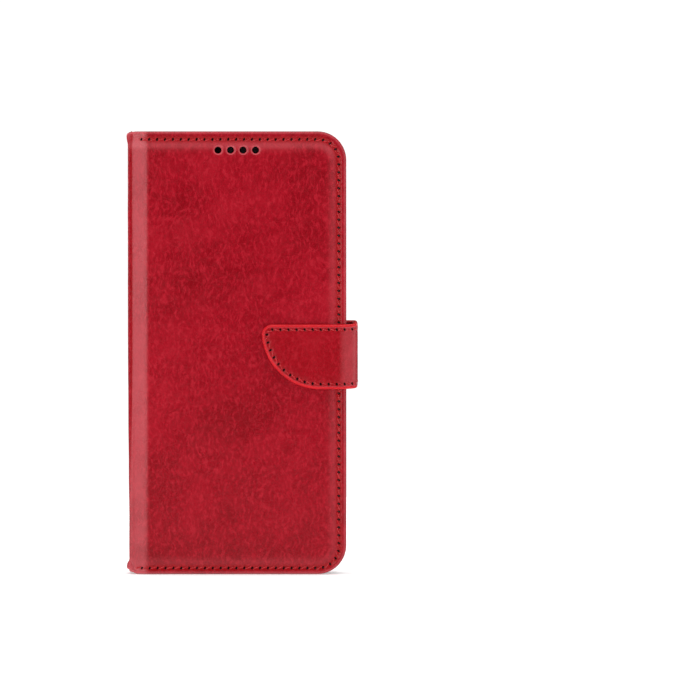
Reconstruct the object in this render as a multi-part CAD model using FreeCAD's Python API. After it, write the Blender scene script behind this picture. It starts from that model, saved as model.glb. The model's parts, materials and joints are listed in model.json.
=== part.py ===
import FreeCAD, Part
import math
import os

from FreeCAD import Vector

# A leather phone wallet case, closed and standing on its bottom edge, in millimetres. +X points from the
# spine to the strap side, -Y is the front and +Z is up. The origin is the bottom centre of the whole case.
# Each layer has its own solid. "Depth" is the distance forwards from the back cover's outer face.

# ---- overall sizes ----
CASE_WIDTH = 84.0  # spine's outer face to the covers' free edge
CASE_HEIGHT = 170.0
CORNER_R = 11.0  # the covers' free corners
SKIRT = 0.8  # leather turned round the covers' three free edges
FOLD_CLEAR = 0.1  # between a fold's round bead and the panel that swings about it

# ---- back cover, from its outer face forwards ----
BACK_LEATHER = 0.8
BACK_BOARD = 0.8
BACK_LINING = 0.6
BACK_T = BACK_LEATHER + BACK_BOARD + BACK_LINING

# ---- soft plastic tray that grips the phone ----
TRAY_X = (2.2, 82.7)  # from the spine's outer face
TRAY_Z = (1.5, 168.5)
TRAY_DEPTH = 9.8
TRAY_WALL = 1.4
TRAY_BASE = 1.0
TRAY_LIP = 0.5  # thickness of the rim that hooks over the phone
LIP_OVERHANG = 0.9
TRAY_R = 12.5
TRAY_BACK_FILLET = 1.4
TRAY_RIM_FILLET = 0.45
RIM_NOTCH = (18.0, 1.0)  # width and depth of the dip in the rim above the earpiece

# ---- openings through the tray ----
CAMERA_X = (39.3, 77.3)
CAMERA_Z = (120.4, 160.4)
CAMERA_R = 11.0
COLLAR_WALL = 1.4  # rim round the camera that reaches out through the back cover
COLLAR_RECESS = 0.2  # the rim stops this far short of the back cover's outer face
COLLAR_CLEAR = 0.4
PORT_SIZE = (12.6, 6.0)
SPEAKER_SIZE = (12.0, 2.6)
SPEAKER_SHIFT = 17.0
MICROPHONE_D = 1.6
MICROPHONE_SHIFT = -14.0

# ---- push buttons in the tray's right wall ----
BUTTON_WIDTH = 3.2
BUTTON_PROUD = 0.6
BUTTON_CLEAR = 0.3
BUTTONS = {  # height of the centre, and length
    "power_button": (106.0, 11.0),
    "volume_down_button": (122.0, 10.0),
    "volume_up_button": (135.0, 10.0),
}

# ---- front cover, from its inner face forwards ----
COVER_GAP = 0.3  # closed cover to tray
INNER_PANEL = 0.5
CARD_SHEET = 0.15
CASH_SHEET = 0.25
CASH_GAP = 0.2  # the cash pocket's gap
FRONT_LINING = 0.3
FRONT_BOARD = 0.6
FOAM = 0.7
FRONT_LEATHER = 0.7
CARD_POCKETS = ("card_pocket_lower", "card_pocket_middle", "card_pocket_upper")
POCKET_STACK = CARD_SHEET * len(CARD_POCKETS)
FRONT_INNER = INNER_PANEL + POCKET_STACK + CASH_SHEET + CASH_GAP
FRONT_T = FRONT_INNER + FRONT_LINING + FRONT_BOARD + FOAM + FRONT_LEATHER

INNER_PANEL_START = 7.7  # the card panel's spine-side edge, where the cash pocket opens
SLOT_X = (18.9, 74.3)
SLOT_HEIGHT = 3.0
SLOT_R = 0.75
SLOT_Z = {"card_pocket_upper": 125.9, "card_pocket_middle": 107.4, "card_pocket_lower": 88.8}
POCKET_MARGIN = 2.6  # cloth past the ends and above the top of a slot
POCKET_DROP = 74.0  # how far a pocket reaches below its slot
THUMB_WINDOW = (46.4, 52.6, 18.8, 29.2)  # centre x and z, width and height

HOLE_COUNT = 4  # earpiece holes through the front cover
HOLE_PITCH = 4.8
HOLE_D = 2.65
HOLE_DROP = 7.2  # below the top edge
HOLE_CENTRE_X = 42.0

CATCH_X = (57.0, 77.0)  # steel plate that the strap's magnet holds to
CATCH_Z = (77.0, 91.0)
CATCH_T = 0.5
CATCH_CLEAR = 0.3
METAL_R = 1.0  # corners of the catch plate and the magnet

# ---- strap ----
STRAP_Z = (71.6, 96.5)
STRAP_TIP_X = 51.4
STRAP_STANDOFF = 4.3  # outer face of the side band, past the covers' free edge
STRAP_LEATHER = 0.8
STRAP_CORE = 0.5
STRAP_LINING = 0.7
STRAP_T = STRAP_LEATHER + STRAP_CORE + STRAP_LINING
STRAP_CLEAR = 0.5  # tab to closed front cover
TONGUE_LENGTH = 14.0  # sewn in between the back cover's leather and lining
TONGUE_CLEAR = 0.05
TAB_SWEEP_R = 22.5  # large arc under the tab
TAB_CORNER_R = 4.0
MAGNET_X = (58.0, 76.0)
MAGNET_Z = (78.5, 93.5)

# ---- spine ----
SPINE_LEATHER = 0.8
SPINE_CORE = 0.5
SPINE_LINING = 0.5
SPINE_CORE_MARGIN = 4.0  # the stiffener stops this far short of the spine's ends

# ---- thread, a thin strand lying in a groove of its own size in the leather ----
THREAD_WIDTH = 0.5
THREAD_T = 0.15
STITCH_TOP = 3.1
STITCH_SIDE = 2.9
STITCH_BOTTOM = 2.3
STITCH_START = 9.0  # from the spine's outer face
STRAP_STITCH = 1.5
PANEL_STITCH = 2.0

# ---- places that follow from the sizes ----
CLOSED_T = BACK_T + TRAY_DEPTH + COVER_GAP + FRONT_T
TAB_DEPTH = CLOSED_T + STRAP_CLEAR
TOTAL_WIDTH = CASE_WIDTH + STRAP_STANDOFF
TOTAL_DEPTH = TAB_DEPTH + STRAP_T
X_SPINE = -TOTAL_WIDTH / 2
Y_BACK = TOTAL_DEPTH / 2

FRONT_DEPTH = CLOSED_T - FRONT_T  # the front cover's inner face
SPINE_FOLD = (BACK_T / 2, BACK_T / 2)  # x and depth of the back cover's fold axis
COVER_FOLD = (FRONT_T / 2, CLOSED_T - FRONT_T / 2)
STRAP_X = CASE_WIDTH + STRAP_STANDOFF - STRAP_T / 2
STRAP_FOLD = (STRAP_X, BACK_LEATHER + BACK_BOARD / 2)
TAB_FOLD = (STRAP_X, TAB_DEPTH + STRAP_T / 2)
FOLD_REACH = STRAP_T / 2 + FOLD_CLEAR  # strap pieces keep this far from their fold axes
QUARTER_TURN = {(1, 1): 0, (-1, 1): 90, (-1, -1): 180, (1, -1): 270}  # degrees, by band side and fold end

BACK_X = (2 * SPINE_FOLD[0] + FOLD_CLEAR, CASE_WIDTH)
FRONT_X = (2 * COVER_FOLD[0] + FOLD_CLEAR, CASE_WIDTH)
FULL_Z = (0.0, CASE_HEIGHT)
LAYER_Z = (SKIRT, CASE_HEIGHT - SKIRT)
LAYER_R = CORNER_R - SKIRT
TRAY_MID_X = sum(TRAY_X) / 2
BAY_DEPTH = BACK_T + TRAY_BASE
BAY_MID_DEPTH = (BAY_DEPTH + BACK_T + TRAY_DEPTH - TRAY_LIP) / 2


def grown(span, amount):
    """A (low, high) span, longer by an amount at both ends."""
    return (span[0] - amount, span[1] + amount)


def place(x, depth, z):
    """The point at x from the spine's outer face, at a depth from the back and at height z."""
    return Vector(X_SPINE + x, Y_BACK - depth, z)


def rounded_face(u, v, r_low, r_high, point):
    """A flat face on spans u and v, with radii at its low-u and high-u corners. point(u, v) places it."""
    corners = (
        (u[0] + r_low, v[0] + r_low, r_low, 180),
        (u[1] - r_high, v[0] + r_high, r_high, 270),
        (u[1] - r_high, v[1] - r_high, r_high, 0),
        (u[0] + r_low, v[1] - r_low, r_low, 90),
    )
    runs = []
    for cu, cv, radius, start in corners:
        angles = [math.radians(start + turn) for turn in (0, 45, 90)]
        runs.append([point(cu + radius * math.cos(a), cv + radius * math.sin(a)) for a in angles])
    edges = []
    for index, run in enumerate(runs):
        following = runs[(index + 1) % len(runs)][0]
        if run[0].distanceToPoint(run[2]) > 1e-6:
            edges.append(Part.Arc(*run).toShape())
        if run[2].distanceToPoint(following) > 1e-6:
            edges.append(Part.makeLine(run[2], following))
    return Part.Face(Part.Wire(edges))


def plate(x, z, depth, thickness, r_low=0.0, r_high=0.0):
    """A layer parallel to the covers, from a depth forwards by its thickness."""
    face = rounded_face(x, z, r_low, r_high, lambda u, v: place(u, depth, v))
    return face.extrude(Vector(0, -thickness, 0))


def side_pill(depth, z, x_start, length):
    """A bar along +X whose section is round-ended in height; depth and z are its spans."""
    radius = (depth[1] - depth[0]) / 2
    pill = rounded_face(z, depth, radius, radius, lambda u, v: place(x_start, v, u))
    return pill.extrude(Vector(length, 0, 0))


def upright_slot(x_mid, depth_mid, size, z_start, length):
    """A bar along +Z whose section is a round-ended slot of size (along x, along depth)."""
    x = (x_mid - size[0] / 2, x_mid + size[0] / 2)
    depth = (depth_mid - size[1] / 2, depth_mid + size[1] / 2)
    radius = size[1] / 2
    slot = rounded_face(x, depth, radius, radius, lambda u, v: place(u, v, z_start))
    return slot.extrude(Vector(0, 0, length))


def cover_plate(x_start, depth, thickness):
    """A hidden layer of a cover, inside the turned leather edge."""
    return plate((x_start, CASE_WIDTH - SKIRT), LAYER_Z, depth, thickness, 0.0, LAYER_R)


def earpiece_holes(shape):
    """The shape with the row of earpiece holes drilled through it."""
    for number in range(HOLE_COUNT):
        x = HOLE_CENTRE_X + (number - (HOLE_COUNT - 1) / 2) * HOLE_PITCH
        start = place(x, FRONT_DEPTH - 1, CASE_HEIGHT - HOLE_DROP)
        shape = shape.cut(Part.makeCylinder(HOLE_D / 2, FRONT_T + 2, start, Vector(0, -1, 0)))
    return shape


def camera_plate(margin, depth, thickness):
    """A block of the camera opening's outline, larger all round by a margin."""
    radius = CAMERA_R + margin
    return plate(grown(CAMERA_X, margin), grown(CAMERA_Z, margin), depth, thickness, radius, radius)


def stitch_run(depth):
    """A strand along a cover's top, free side and bottom."""
    x = (STITCH_START, CASE_WIDTH - STITCH_SIDE)
    z = (STITCH_BOTTOM, CASE_HEIGHT - STITCH_TOP)
    radius = CORNER_R - STITCH_SIDE
    whole = plate(x, z, depth, THREAD_T, 0.0, radius)
    inside_x = (x[0] - 1, x[1] - THREAD_WIDTH)
    inside_z = grown(z, -THREAD_WIDTH)
    return whole.cut(plate(inside_x, inside_z, depth, THREAD_T, 0.0, radius - THREAD_WIDTH))


def folded_band(side, back_fold, front_fold, back_r, front_r, z, layers):
    """Leather, core and lining of a band between two folds.

    side is the way that its outer face looks, -1 or +1. The leather ends in a quarter roll about each fold
    axis, of that fold's radius, so that the panels swing about it.
    """
    leather, core, lining = layers
    height = z[1] - z[0]
    face_x = back_fold[0] + side * back_r
    band = plate(sorted((face_x, face_x - side * leather)), z, back_fold[1], front_fold[1] - back_fold[1])
    for fold, radius, way in ((back_fold, back_r, 1), (front_fold, front_r, -1)):
        axis = place(fold[0], fold[1], z[0])
        roll = Part.makeCylinder(radius, height, axis)
        roll = roll.cut(Part.makeCylinder(radius - leather, height, axis))
        corner = Part.makeBox(radius, radius, height, axis)
        corner.rotate(axis, Vector(0, 0, 1), QUARTER_TURN[side, way])
        band = band.fuse(roll.common(corner))
    inner_span = (back_fold[1] + back_r, front_fold[1] - front_r)
    inner_depth = inner_span[1] - inner_span[0]
    core_x = sorted((face_x - side * leather, face_x - side * (leather + core)))
    lining_x = sorted((face_x - side * (leather + core), face_x - side * (leather + core + lining)))
    core_z = grown(z, -SPINE_CORE_MARGIN) if side < 0 else z
    return (
        band.removeSplitter(),
        plate(core_x, core_z, inner_span[0], inner_depth),
        plate(lining_x, z, inner_span[0], inner_depth),
    )


def tab_plate(inset, x_end, depth, thickness):
    """A layer of the strap's tab: straight on top, with one large arc sweeping under it."""
    tip, bottom, top = STRAP_TIP_X + inset, STRAP_Z[0] + inset, STRAP_Z[1] - inset
    sweep, small = TAB_SWEEP_R - inset, TAB_CORNER_R - inset
    sweep_x, sweep_z = tip + sweep, bottom + sweep
    small_z = top - small
    small_x = sweep_x - math.sqrt((sweep - small) ** 2 - (sweep_z - small_z) ** 2)
    meeting = math.atan2(small_z - sweep_z, small_x - sweep_x) % (2 * math.pi)

    def on_arc(cx, cz, radius, angle):
        return place(cx + radius * math.cos(angle), depth, cz + radius * math.sin(angle))

    small_angles = (math.pi / 2, (math.pi / 2 + meeting) / 2, meeting)
    sweep_angles = (meeting, (meeting + 1.5 * math.pi) / 2, 1.5 * math.pi)
    corner = [on_arc(small_x, small_z, small, angle) for angle in small_angles]
    under = [on_arc(sweep_x, sweep_z, sweep, angle) for angle in sweep_angles]
    right_top, right_bottom = place(x_end, depth, top), place(x_end, depth, bottom)
    edges = [
        Part.makeLine(right_top, corner[0]),
        Part.Arc(*corner).toShape(),
        Part.Arc(*under).toShape(),
        Part.makeLine(under[2], right_bottom),
        Part.makeLine(right_bottom, right_top),
    ]
    return Part.Face(Part.Wire(edges)).extrude(Vector(0, -thickness, 0))


def outer_edges(shape, depth):
    """The edges of a shape's outer outline at a depth."""
    y = Y_BACK - depth
    face = max((f for f in shape.Faces if abs(f.BoundBox.YMin - y) < 1e-6 and f.BoundBox.YLength < 1e-6),
               key=lambda f: f.OuterWire.BoundBox.DiagonalLength)
    return face.OuterWire.Edges


# ---- back cover ----
def back_cover_parts():
    """Outer leather, board and lining of the back cover, its thread, and the strap's sewn-in root."""
    camera_cut = camera_plate(COLLAR_WALL + COLLAR_CLEAR, -1, BACK_T + 2)
    leather = plate(BACK_X, FULL_Z, 0, BACK_T, 0.0, CORNER_R)
    leather = leather.cut(cover_plate(BACK_X[0], BACK_LEATHER, BACK_T - BACK_LEATHER)).cut(camera_cut)
    board = cover_plate(BACK_X[0], BACK_LEATHER, BACK_BOARD).cut(camera_cut)
    lining = cover_plate(BACK_X[0], BACK_LEATHER + BACK_BOARD, BACK_LINING).cut(camera_cut)

    tongue_x = (CASE_WIDTH - TONGUE_LENGTH, CASE_WIDTH + TONGUE_CLEAR)
    tongue = plate(tongue_x, STRAP_Z, BACK_LEATHER, BACK_BOARD)
    tail_x = (CASE_WIDTH + TONGUE_CLEAR, STRAP_X - FOLD_REACH)
    tail = plate(tail_x, STRAP_Z, STRAP_FOLD[1] - STRAP_T / 2, STRAP_T)
    notch = plate(tongue_x, grown(STRAP_Z, TONGUE_CLEAR), BACK_LEATHER, BACK_BOARD)
    thread = stitch_run(0)
    return {
        "back_outer_leather": leather.cut(notch).cut(thread),
        "back_stiffener_board": board.cut(notch),
        "back_lining": lining,
        "back_cover_thread": thread,
        "strap_root": tongue.fuse(tail).removeSplitter(),
    }


# ---- phone tray ----
def button_spans(name, clear):
    """Depth and height spans of a button, larger all round by a clearance."""
    z_mid, length = BUTTONS[name]
    depth = (BAY_MID_DEPTH - BUTTON_WIDTH / 2, BAY_MID_DEPTH + BUTTON_WIDTH / 2)
    z = (z_mid - length / 2, z_mid + length / 2)
    return grown(depth, clear), grown(z, clear)


def tray_part():
    """The soft plastic tray, with its rim, camera collar, port openings and button slots."""
    tray = plate(TRAY_X, TRAY_Z, BACK_T, TRAY_DEPTH, TRAY_R, TRAY_R)
    tray = tray.makeFillet(TRAY_BACK_FILLET, outer_edges(tray, BACK_T))
    tray = tray.makeFillet(TRAY_RIM_FILLET, outer_edges(tray, BACK_T + TRAY_DEPTH))
    tray = tray.fuse(camera_plate(COLLAR_WALL, COLLAR_RECESS, BACK_T + TRAY_BASE - COLLAR_RECESS))

    bay_r = TRAY_R - TRAY_WALL
    bay_depth = TRAY_DEPTH - TRAY_BASE - TRAY_LIP
    bay = plate(grown(TRAY_X, -TRAY_WALL), grown(TRAY_Z, -TRAY_WALL), BAY_DEPTH, bay_depth, bay_r, bay_r)
    inset = TRAY_WALL + LIP_OVERHANG
    mouth_r = TRAY_R - inset
    mouth_depth = TRAY_DEPTH - TRAY_BASE + 1
    mouth = plate(grown(TRAY_X, -inset), grown(TRAY_Z, -inset), BAY_DEPTH, mouth_depth, mouth_r, mouth_r)
    tray = tray.cut(bay).cut(mouth).cut(camera_plate(0, -1, BAY_DEPTH + 2))

    notch_x = (TRAY_MID_X - RIM_NOTCH[0] / 2, TRAY_MID_X + RIM_NOTCH[0] / 2)
    rim_depth = BACK_T + TRAY_DEPTH - RIM_NOTCH[1]
    tray = tray.cut(plate(notch_x, (TRAY_Z[1] - inset - 1, TRAY_Z[1] + 1), rim_depth, RIM_NOTCH[1] + 1))

    through = TRAY_WALL + 2
    low, high = TRAY_Z[0] - 1, TRAY_Z[1] - TRAY_WALL - 1
    speaker_x = TRAY_MID_X + SPEAKER_SHIFT
    tray = tray.cut(upright_slot(TRAY_MID_X, BAY_MID_DEPTH, PORT_SIZE, low, through))
    tray = tray.cut(upright_slot(speaker_x, BAY_MID_DEPTH, SPEAKER_SIZE, low, through))
    for z_start, shift in ((low, MICROPHONE_SHIFT), (high, -MICROPHONE_SHIFT)):
        hole_start = place(TRAY_MID_X + shift, BAY_MID_DEPTH, z_start)
        tray = tray.cut(Part.makeCylinder(MICROPHONE_D / 2, through, hole_start))
    for name in BUTTONS:
        depth, z = button_spans(name, BUTTON_CLEAR)
        tray = tray.cut(side_pill(depth, z, TRAY_X[1] - TRAY_WALL - 1, through))
    return {"phone_tray": tray}


def button_parts():
    """The three push buttons, each a round-ended plug through the tray's wall."""
    parts = {}
    for name in BUTTONS:
        depth, z = button_spans(name, 0)
        parts[name] = side_pill(depth, z, TRAY_X[1] - TRAY_WALL, TRAY_WALL + BUTTON_PROUD)
    return parts


# ---- front cover ----
def front_cover_parts():
    """Every layer of the front cover, from the card panel inside to the padded leather outside."""
    parts = {}
    depth = FRONT_DEPTH
    panel = cover_plate(INNER_PANEL_START, depth, INNER_PANEL)
    for z_mid in SLOT_Z.values():
        slot_z = (z_mid - SLOT_HEIGHT / 2, z_mid + SLOT_HEIGHT / 2)
        panel = panel.cut(plate(SLOT_X, slot_z, depth - 1, INNER_PANEL + 2, SLOT_R, SLOT_R))
    x, z, width, height = THUMB_WINDOW
    window_x, window_z = (x - width / 2, x + width / 2), (z - height / 2, z + height / 2)
    panel = panel.cut(plate(window_x, window_z, depth - 1, INNER_PANEL + 2, width / 2, width / 2))
    seam_x = (INNER_PANEL_START + PANEL_STITCH, INNER_PANEL_START + PANEL_STITCH + THREAD_WIDTH)
    seam = plate(seam_x, grown(FULL_Z, -STITCH_TOP), depth, THREAD_T)
    parts["inner_panel_leather"] = earpiece_holes(panel).cut(seam)
    parts["inner_panel_thread"] = seam
    depth += INNER_PANEL

    for name in CARD_POCKETS:
        top = SLOT_Z[name] + SLOT_HEIGHT / 2 + POCKET_MARGIN
        bottom = max(SLOT_Z[name] - POCKET_DROP, LAYER_R + SKIRT)
        parts[name] = plate(grown(SLOT_X, POCKET_MARGIN), (bottom, top), depth, CARD_SHEET)
        depth += CARD_SHEET

    cash = cover_plate(INNER_PANEL_START, depth, CASH_SHEET)
    parts["cash_pocket_sheet"] = earpiece_holes(cash)
    depth += CASH_SHEET + CASH_GAP

    parts["front_cover_lining"] = earpiece_holes(cover_plate(FRONT_X[0], depth, FRONT_LINING))
    depth += FRONT_LINING
    parts["front_stiffener_board"] = earpiece_holes(cover_plate(FRONT_X[0], depth, FRONT_BOARD))
    depth += FRONT_BOARD
    catch_room = plate(grown(CATCH_X, CATCH_CLEAR), grown(CATCH_Z, CATCH_CLEAR), depth, FOAM)
    parts["front_foam_pad"] = earpiece_holes(cover_plate(FRONT_X[0], depth, FOAM)).cut(catch_room)
    parts["catch_plate"] = plate(CATCH_X, CATCH_Z, depth, CATCH_T, METAL_R, METAL_R)

    shell = plate(FRONT_X, FULL_Z, FRONT_DEPTH, FRONT_T, 0.0, CORNER_R)
    hollow = cover_plate(FRONT_X[0], FRONT_DEPTH, FRONT_T - FRONT_LEATHER)
    thread = stitch_run(CLOSED_T - THREAD_T)
    parts["front_outer_leather"] = earpiece_holes(shell.cut(hollow)).cut(thread)
    parts["front_cover_thread"] = thread
    return parts


# ---- spine and strap ----
def spine_parts():
    """The spine's leather with its two rolls, its stiffener strip and its lining."""
    layers = (SPINE_LEATHER, SPINE_CORE, SPINE_LINING)
    bands = folded_band(-1, SPINE_FOLD, COVER_FOLD, BACK_T / 2, FRONT_T / 2, FULL_Z, layers)
    return dict(zip(("spine_outer_leather", "spine_stiffener", "spine_lining"), bands))


def strap_parts():
    """The strap's side band, and its tab with the magnet inside."""
    layers = (STRAP_LEATHER, STRAP_CORE, STRAP_LINING)
    bands = folded_band(1, STRAP_FOLD, TAB_FOLD, STRAP_T / 2, STRAP_T / 2, STRAP_Z, layers)
    parts = dict(zip(("strap_side_leather", "strap_side_core", "strap_side_lining"), bands))
    face_x = CASE_WIDTH + STRAP_STANDOFF
    strands = []
    for z in (STRAP_Z[0] + STRAP_STITCH, STRAP_Z[1] - STRAP_STITCH - THREAD_WIDTH):
        strand_z = (z, z + THREAD_WIDTH)
        strand = plate((face_x - THREAD_T, face_x), strand_z, STRAP_FOLD[1], TAB_FOLD[1] - STRAP_FOLD[1])
        parts["strap_side_leather"] = parts["strap_side_leather"].cut(strand)
        strands.append(strand)
    parts["strap_side_thread"] = Part.makeCompound(strands)

    x_end = STRAP_X - FOLD_REACH
    core_depth = TAB_DEPTH + STRAP_LINING
    thread_depth = TAB_DEPTH + STRAP_T - THREAD_T
    magnet = plate(MAGNET_X, MAGNET_Z, core_depth, STRAP_CORE, METAL_R, METAL_R)
    parts["strap_tab_lining"] = tab_plate(0, x_end, TAB_DEPTH, STRAP_LINING)
    parts["strap_tab_core"] = tab_plate(0, x_end, core_depth, STRAP_CORE).cut(magnet)
    parts["strap_tab_magnet"] = magnet
    strand = tab_plate(STRAP_STITCH, x_end, thread_depth, THREAD_T)
    strand = strand.cut(tab_plate(STRAP_STITCH + THREAD_WIDTH, x_end + 1, thread_depth, THREAD_T))
    parts["strap_tab_leather"] = tab_plate(0, x_end, core_depth + STRAP_CORE, STRAP_LEATHER).cut(strand)
    parts["strap_tab_thread"] = strand
    return parts


os.makedirs("parts", exist_ok=True)
makers = (back_cover_parts, tray_part, button_parts, front_cover_parts, spine_parts, strap_parts)
for maker in makers:
    for node, shape in maker().items():
        shape.exportStep(os.path.join("parts", node + ".step"))
        print(node, len(shape.Solids), "solid,", round(shape.Volume, 1), "mm3, valid", shape.isValid())
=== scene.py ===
import bisect
import json
import logging
import math
from dataclasses import dataclass, field
from enum import Enum
from typing import Any, Callable, Sequence

import bmesh
import bpy
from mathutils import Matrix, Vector, noise
from mathutils.geometry import delaunay_2d_cdt


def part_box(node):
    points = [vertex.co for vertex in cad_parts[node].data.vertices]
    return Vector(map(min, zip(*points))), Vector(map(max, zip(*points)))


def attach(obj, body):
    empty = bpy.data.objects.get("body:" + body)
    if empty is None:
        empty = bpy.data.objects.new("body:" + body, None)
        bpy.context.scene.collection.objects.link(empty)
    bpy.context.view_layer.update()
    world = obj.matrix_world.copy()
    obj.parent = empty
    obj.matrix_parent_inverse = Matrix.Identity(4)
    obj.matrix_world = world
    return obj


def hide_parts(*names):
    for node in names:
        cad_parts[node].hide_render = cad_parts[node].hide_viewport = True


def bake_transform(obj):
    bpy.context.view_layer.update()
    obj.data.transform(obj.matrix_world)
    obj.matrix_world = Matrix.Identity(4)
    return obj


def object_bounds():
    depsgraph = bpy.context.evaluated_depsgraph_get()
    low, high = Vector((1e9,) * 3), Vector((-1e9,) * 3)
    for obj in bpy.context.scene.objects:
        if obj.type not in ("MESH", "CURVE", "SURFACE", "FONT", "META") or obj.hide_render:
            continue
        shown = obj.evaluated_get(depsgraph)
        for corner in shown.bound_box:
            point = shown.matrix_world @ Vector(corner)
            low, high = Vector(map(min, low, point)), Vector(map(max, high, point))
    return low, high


# A red leather phone wallet case, closed and standing on its bottom edge. Sizes are in millimetres and become
# metres where a point is placed. +X points to the strap side, -Y is the front and +Z is up. "Flat" places are
# (s, z): s runs along a sheet's section from the spine and equals x on a cover's flat part. "Depth" is the
# distance forwards from the back cover's outer face.

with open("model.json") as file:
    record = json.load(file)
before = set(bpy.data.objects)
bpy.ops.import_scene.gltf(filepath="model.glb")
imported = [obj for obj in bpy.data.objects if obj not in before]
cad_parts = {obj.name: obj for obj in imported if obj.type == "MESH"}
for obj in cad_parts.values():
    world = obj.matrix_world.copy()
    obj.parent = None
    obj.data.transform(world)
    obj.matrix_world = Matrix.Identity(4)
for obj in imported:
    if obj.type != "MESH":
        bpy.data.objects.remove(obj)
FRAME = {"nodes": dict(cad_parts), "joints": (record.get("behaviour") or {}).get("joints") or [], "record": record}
CAD_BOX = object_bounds()
MM = 0.001
LOG = logging.getLogger("wallet_case")

Flat = tuple[float, float]
Colour = tuple[float, float, float]
Marking = Callable[[float, float, float], float]  # a number from (s, z, distance inside the edge)

SPINE_X = CAD_BOX[0][0] / MM  # the spine's outer face
BACK_Y = CAD_BOX[1][1] / MM  # the back cover's outer face
FREE_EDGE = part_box("front_outer_leather")[1][0] / MM - SPINE_X
HEIGHT = (CAD_BOX[1][2] - CAD_BOX[0][2]) / MM
CORNER = 11.0  # radius of the covers' free corners
INNER_INSET = 0.8  # how far the linings and the card panel stay inside the covers' edge
FOLD_UNTIL = 9.5  # flat place up to which a cover's columns stand close
STITCH_PITCH = 3.02
STITCHES_FROM = 3.9  # flat place where the covers' stitches start
END_DIP = (0.4, 1.6)  # how much shorter a sheet is at the spine, at its top and at its foot
END_REACH = 3.4  # flat distance over which that fades


def clamp(value: float) -> float:
    """A number kept from 0 to 1."""
    return min(1.0, max(0.0, value))


def smooth(low: float, high: float, value: float) -> float:
    """A soft step from 0 at low to 1 at high."""
    t = clamp((value - low) / (high - low))
    return t * t * (3 - 2 * t)


def bell(value: float, middle: float, width: float) -> float:
    """A soft peak of 1 where the value is at its middle."""
    return math.exp(-((value - middle) / width) ** 2)


def waviness(s: float, z: float, size: float, layer: float) -> float:
    """Soft noise over flat places, the same for one layer; its waves are about as long as the size."""
    return noise.noise(Vector((s / size, z / size, layer)))


def spine_creases(s: float, z: float) -> float:
    """Soft noise drawn out along the spine."""
    return noise.noise(Vector((s * 1.1, z / 46, 4.0)))


def node_depth(node: str, outer: bool) -> float:
    """Depth of a CAD node's face nearest the front, or of the one nearest the back where outer is False."""
    low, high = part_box(node)
    return BACK_Y - (low if outer else high)[1] / MM


def joint_place(name: str) -> tuple[float, float]:
    """Where a joint's axis stands: its x from the spine's outer face and its depth."""
    pos = next(joint for joint in FRAME["joints"] if joint["name"] == name)["pos_m"]
    return pos[0] / MM - SPINE_X, BACK_Y - pos[1] / MM


class Side(Enum):
    """Which way a sheet's dressed face looks from its run, seen from above."""

    RIGHT = -1
    LEFT = 1


class Cover(Enum):
    """The two covers, by their bodies."""

    FRONT = "front_cover"
    BACK = "back_cover"


class Half(Enum):
    """The strap's two halves."""

    ROOT = "root"
    TAB = "tab"


class Slot(Enum):
    """The record's material slots."""

    OUTER = "outer_leather"
    LINING = "lining_leather"
    THREAD = "thread"
    CLOTH = "pocket_cloth"


# ---------------------------------------------------------------- node graphs


class Signal:
    """A node's output that takes part in Python arithmetic."""

    def __init__(self, graph: "NodeGraph", socket: bpy.types.NodeSocket) -> None:
        """Wrap an output socket of a graph."""
        self.graph = graph
        self.socket = socket

    def _math(self, operation: str, first: Any, second: Any = 0.0) -> "Signal":
        """The result of a Math node on Signals or numbers."""
        return self.graph.add("ShaderNodeMath", {"operation": operation}, {0: first, 1: second})

    def __add__(self, other: Any) -> "Signal":
        """Sum."""
        return self._math("ADD", self, other)

    __radd__ = __add__

    def __sub__(self, other: Any) -> "Signal":
        """Difference."""
        return self._math("SUBTRACT", self, other)

    def __rsub__(self, other: Any) -> "Signal":
        """Reflected difference."""
        return self._math("SUBTRACT", other, self)

    def __mul__(self, other: Any) -> "Signal":
        """Product."""
        return self._math("MULTIPLY", self, other)

    __rmul__ = __mul__

    def sine(self) -> "Signal":
        """Sine."""
        return self._math("SINE", self)

    def step(self, low: float, high: float) -> "Signal":
        """A soft step of this value, from 0 at low to 1 at high."""
        settings = {"interpolation_type": "SMOOTHSTEP"}
        return self.graph.add("ShaderNodeMapRange", settings, {0: self, 1: low, 2: high, 3: 0.0, 4: 1.0})

    def shift(self, amount: "Signal", reach: float) -> "Signal":
        """This vector moved by a noise colour, a full colour moving it by the reach."""
        scaled = self.graph.add("ShaderNodeVectorMath", {"operation": "SCALE"}, {0: amount, "Scale": reach})
        return self.graph.add("ShaderNodeVectorMath", {"operation": "ADD"}, {0: self, 1: scaled})


class NodeGraph:
    """A node tree, and the one method that makes its nodes."""

    def __init__(self, tree: bpy.types.NodeTree) -> None:
        """Start with an empty tree."""
        self.tree = tree
        self.tree.nodes.clear()

    def node(self, kind: str, settings: dict[str, Any] | None = None, sockets: dict[Any, Any] | None = None
             ) -> bpy.types.Node:
        """Make a node.

        Args:
            kind: the node's type.
            settings: its own properties.
            sockets: values or Signals for its inputs, by name or index.

        Returns:
            The node.
        """
        node = self.tree.nodes.new(kind)
        for key, value in (settings or {}).items():
            setattr(node, key, value)
        for key, value in (sockets or {}).items():
            if isinstance(value, Signal):
                self.tree.links.new(value.socket, node.inputs[key])
            else:
                node.inputs[key].default_value = value
        return node

    def add(self, kind: str, settings: dict[str, Any] | None = None, sockets: dict[Any, Any] | None = None,
            output: Any = 0) -> Signal:
        """Make a node and hand back one of its outputs, by name or index."""
        return Signal(self, self.node(kind, settings, sockets).outputs[output])


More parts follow.
